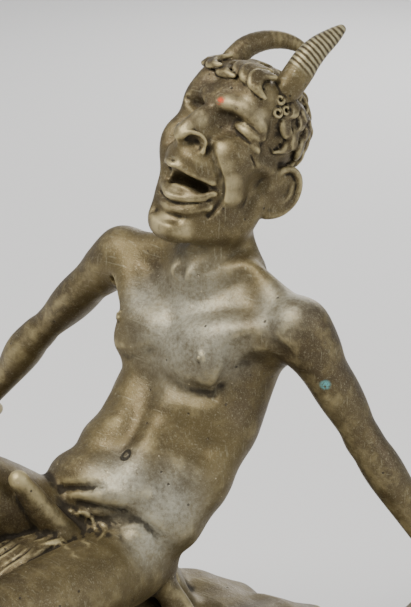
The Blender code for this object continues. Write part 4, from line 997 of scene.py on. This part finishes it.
def bronze():
    """Brown patina, rubbed to olive gold on what stands proud, with painted shade in what lies
    deep.
    """
    mat = Recipe("Patinated bronze")
    chasing, modelling, form = (
        mat.node("ShaderNodeAttribute", {}, attribute_name=name).outputs["Fac"]
        for name, rounds in RELIEFS)
    cloud = mat.noise(24, 3)
    mottle = mat.noise(150, 6, 0.7)
    grain = mat.noise(800, 4, 0.7)
    uneven = mat.sum("SUBTRACT", mottle, 0.5)

    # the patina itself: thick and brown here, thin and olive there
    mat.colour = (0.074, 0.053, 0.026)
    mat.over(mat.ramp(cloud, 0.38, 0.66), (0.130, 0.098, 0.041))
    mat.over(mat.ramp(mottle, 0.42, 0.68, 0, 0.5), (0.178, 0.137, 0.058))
    mat.over(mat.ramp(grain, 0.5, 0.72, 0, 0.35), (0.24, 0.21, 0.12))
    dust = mat.noise(2300, 2, 0.6)
    mat.over(mat.ramp(dust, 0.55, 0.72, 0, 0.45), (0.27, 0.24, 0.15))
    for stretch in ((1, 1, 0.05), (0.06, 1, 1)):
        scratch = mat.ramp(mat.noise(1100, 2, 0.5, stretch), 0.64, 0.7, 0, 0.3)
        mat.over(scratch, (0.34, 0.31, 0.2))

    # rubbed high places
    proud = mat.sum("ADD", modelling, mat.times(uneven, 0.8))
    rubbed = mat.ramp(proud, 0.15, 1.0, 0, 0.65)
    mat.over(rubbed, (0.33, 0.265, 0.125))
    crest = mat.sum("ADD", chasing, mat.times(uneven, 0.12))
    crest = mat.ramp(crest, 0.01, 0.11, 0, 0.85)
    mat.over(crest, (0.46, 0.385, 0.2))

    # gold where hands have rubbed the face
    gilt = 0.0
    for spot, radius in GILT:
        gilt = mat.sum("MAXIMUM", gilt, mat.near(on_body(spot), radius, 0.2))
    gilt = mat.times(gilt, mat.ramp(mottle, 0.3, 0.6, 0.2, 1))
    mat.over(mat.times(gilt, 0.75), (0.50, 0.42, 0.23))

    # greyish places worn or cleaned through the patina
    worn = mat.near((12, -30, 78), 32, 0.15)
    for spot, radius in WORN:
        worn = mat.sum("MAXIMUM", worn, mat.near(spot, radius, 0.1))
    worn = mat.times(worn, mat.ramp(mottle, 0.25, 0.6, 0.35, 1))
    worn = mat.times(worn, mat.ramp(grain, 0.3, 0.6, 0.5, 1))
    mat.over(mat.times(worn, 0.75), (0.40, 0.385, 0.30))

    # painted shade: brownish over broad hollows, near black in creases and deep recesses
    hollow = mat.sum("MAXIMUM", mat.ramp(chasing, -0.01, -0.08),
                     mat.ramp(modelling, -0.12, -0.8, 0, 0.9))
    mat.over(mat.times(mat.ramp(form, -0.4, -2.6), 0.4), (0.045, 0.032, 0.02))
    mat.over(mat.times(hollow, 0.82), (0.016, 0.012, 0.008))

    # rings filed round the standing horn
    horn_way = head_axes().T @ unit((0.12, -0.28, 1))
    along = mat.node("ShaderNodeVectorMath", {"Vector": mat.place}, operation="DOT_PRODUCT")
    along.inputs[1].default_value = tuple(horn_way)
    phase = mat.times(along.outputs["Value"], 2 * math.pi / (RING_STEP * MM))
    wave = mat.sum("SINE", mat.sum("ADD", phase, mat.times(uneven, 5)), 0)
    on_horn = 0.0
    for spot in HORN_SPOTS:
        on_horn = mat.sum("MAXIMUM", on_horn, mat.near(on_body(spot), 6.5, 0.8))
    ring = mat.times(mat.ramp(wave, 0.5, 1.0), on_horn)
    mat.over(mat.times(mat.ramp(wave, 0.3, -0.8), on_horn), (0.36, 0.32, 0.19))
    mat.over(mat.times(ring, 0.75), (0.03, 0.024, 0.015))

    # the navel: a small ring of painted shade, which the bump also sinks
    dimple = mat.sum("SUBTRACT", mat.near(NAVEL, 2.5, 0.75), mat.near(NAVEL, 1.4, 0.5))
    mat.over(mat.times(dimple, 0.85), (0.02, 0.017, 0.012))

    # casting pits, bright specks and two flecks of old paint and verdigris
    cells = mat.node("ShaderNodeTexVoronoi", {"Vector": mat.place, "Scale": 330.0})
    chosen = mat.node("ShaderNodeSeparateColor", {"Color": cells.outputs["Color"]})
    pit = mat.times(mat.ramp(cells.outputs["Distance"], 0.2, 0.08),
                    mat.ramp(chosen.outputs[0], 0.86, 0.9))
    speck = mat.times(mat.ramp(cells.outputs["Distance"], 0.13, 0.06),
                      mat.ramp(chosen.outputs[1], 0.84, 0.9))
    mat.over(mat.times(pit, 0.8), (0.03, 0.025, 0.02))
    mat.over(mat.times(speck, 0.6), (0.55, 0.47, 0.3))
    for spot, radius, fleck in FLECKS:
        share = mat.times(mat.near(spot, radius, 0.3), mat.ramp(grain, 0.38, 0.52))
        mat.over(share, fleck)

    rough = mat.ramp(mottle, 0.3, 0.7, 0.43, 0.58)
    rough = mat.sum("ADD", rough, mat.times(hollow, 0.25))
    height = mat.sum("ADD", mat.times(grain, 0.5), mat.times(dust, 0.3))
    height = mat.sum("SUBTRACT", height, mat.sum("MAXIMUM", pit, ring))
    height = mat.sum("SUBTRACT", height, mat.times(dimple, 3))
    skin = mat.node("ShaderNodeBump", {"Height": height, "Strength": 0.6, "Distance": 0.0003})
    skin = mat.node("ShaderNodeBump", {"Height": mottle, "Strength": 0.4, "Distance": 0.0007,
                                       "Normal": skin.outputs[0]})
    return mat.made(Base_Color=mat.colour, Metallic=0.65, Roughness=rough,
                    Normal=skin.outputs[0])


cast = bronze_mesh(cast_clay())
cast.data.materials.clear()
cast.data.materials.append(bronze())
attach(cast, "root")
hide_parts("faun")


# The plinth: a sawn and polished slab of black marble with rounded corners and chamfered
# edges. The cast stands on it by its own weight.
def marble():
    """Near-black stone with thin pale veins and a waxed polish."""
    mat = Recipe("Black marble")
    cloud = mat.noise(22, 5, 0.6, distortion=0.8)
    vein = mat.sum("ABSOLUTE", mat.sum("SUBTRACT", mat.noise(9, 6, 0.6, distortion=2.2), 0.5), 0.0)
    mat.colour = (0.008, 0.008, 0.009)
    mat.over(mat.ramp(cloud, 0.35, 0.75), (0.03, 0.03, 0.032))
    mat.over(mat.ramp(vein, 0.012, 0.0, 0, 0.55), (0.28, 0.27, 0.25))
    scuff = mat.node("ShaderNodeBump", {"Height": mat.noise(420, 4), "Strength": 0.15,
                                        "Distance": 0.0002})
    return mat.made(Base_Color=mat.colour, Roughness=mat.ramp(cloud, 0.3, 0.7, 0.16, 0.3),
                    Normal=scuff.outputs[0])


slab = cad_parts["plinth"]
stone = marble()
for slot in slab.material_slots:
    slot.material = stone


# The studio: a pale floor and soft light, brightest from the upper left of the view.
FLOOR_SIZE = 3.0
floor_mesh = bpy.data.meshes.new("floor")
half = FLOOR_SIZE / 2
floor_mesh.from_pydata([(-half, -half, 0), (half, -half, 0), (half, half, 0), (-half, half, 0)],
                       [], [(0, 1, 2, 3)])
floor = in_scene("floor", floor_mesh)
paper = Recipe("Pale paper")
floor_mesh.materials.append(paper.made(Base_Color=(0.78, 0.77, 0.75, 1), Roughness=0.9))

sky = bpy.data.worlds.new("Studio")
sky.use_nodes = True
sky.node_tree.nodes["Background"].inputs["Color"].default_value = (0.93, 0.95, 1, 1)
sky.node_tree.nodes["Background"].inputs["Strength"].default_value = 0.55
bpy.context.scene.world = sky


def softbox(name, right, up, back, size, power, tint):
    """A square lamp placed from the view's middle along its right, up and back."""
    lamp = bpy.data.lights.new(name, "AREA")
    lamp.size, lamp.energy, lamp.color = size, power, tint
    holder = in_scene(name, lamp)
    place = VIEW_CENTRE + right * view_right + up * view_up + back * view_back
    holder.location = place
    holder.rotation_euler = (place - VIEW_CENTRE).to_track_quat("Z", "Y").to_euler()


softbox("Key", -0.55, 0.75, 0.65, 0.45, 16, (1, 0.97, 0.92))
softbox("Fill", 0.9, 0.2, 0.6, 0.8, 5, (0.95, 0.97, 1))
softbox("Rim", 0.3, 0.7, -0.9, 0.6, 6, (1, 1, 1))
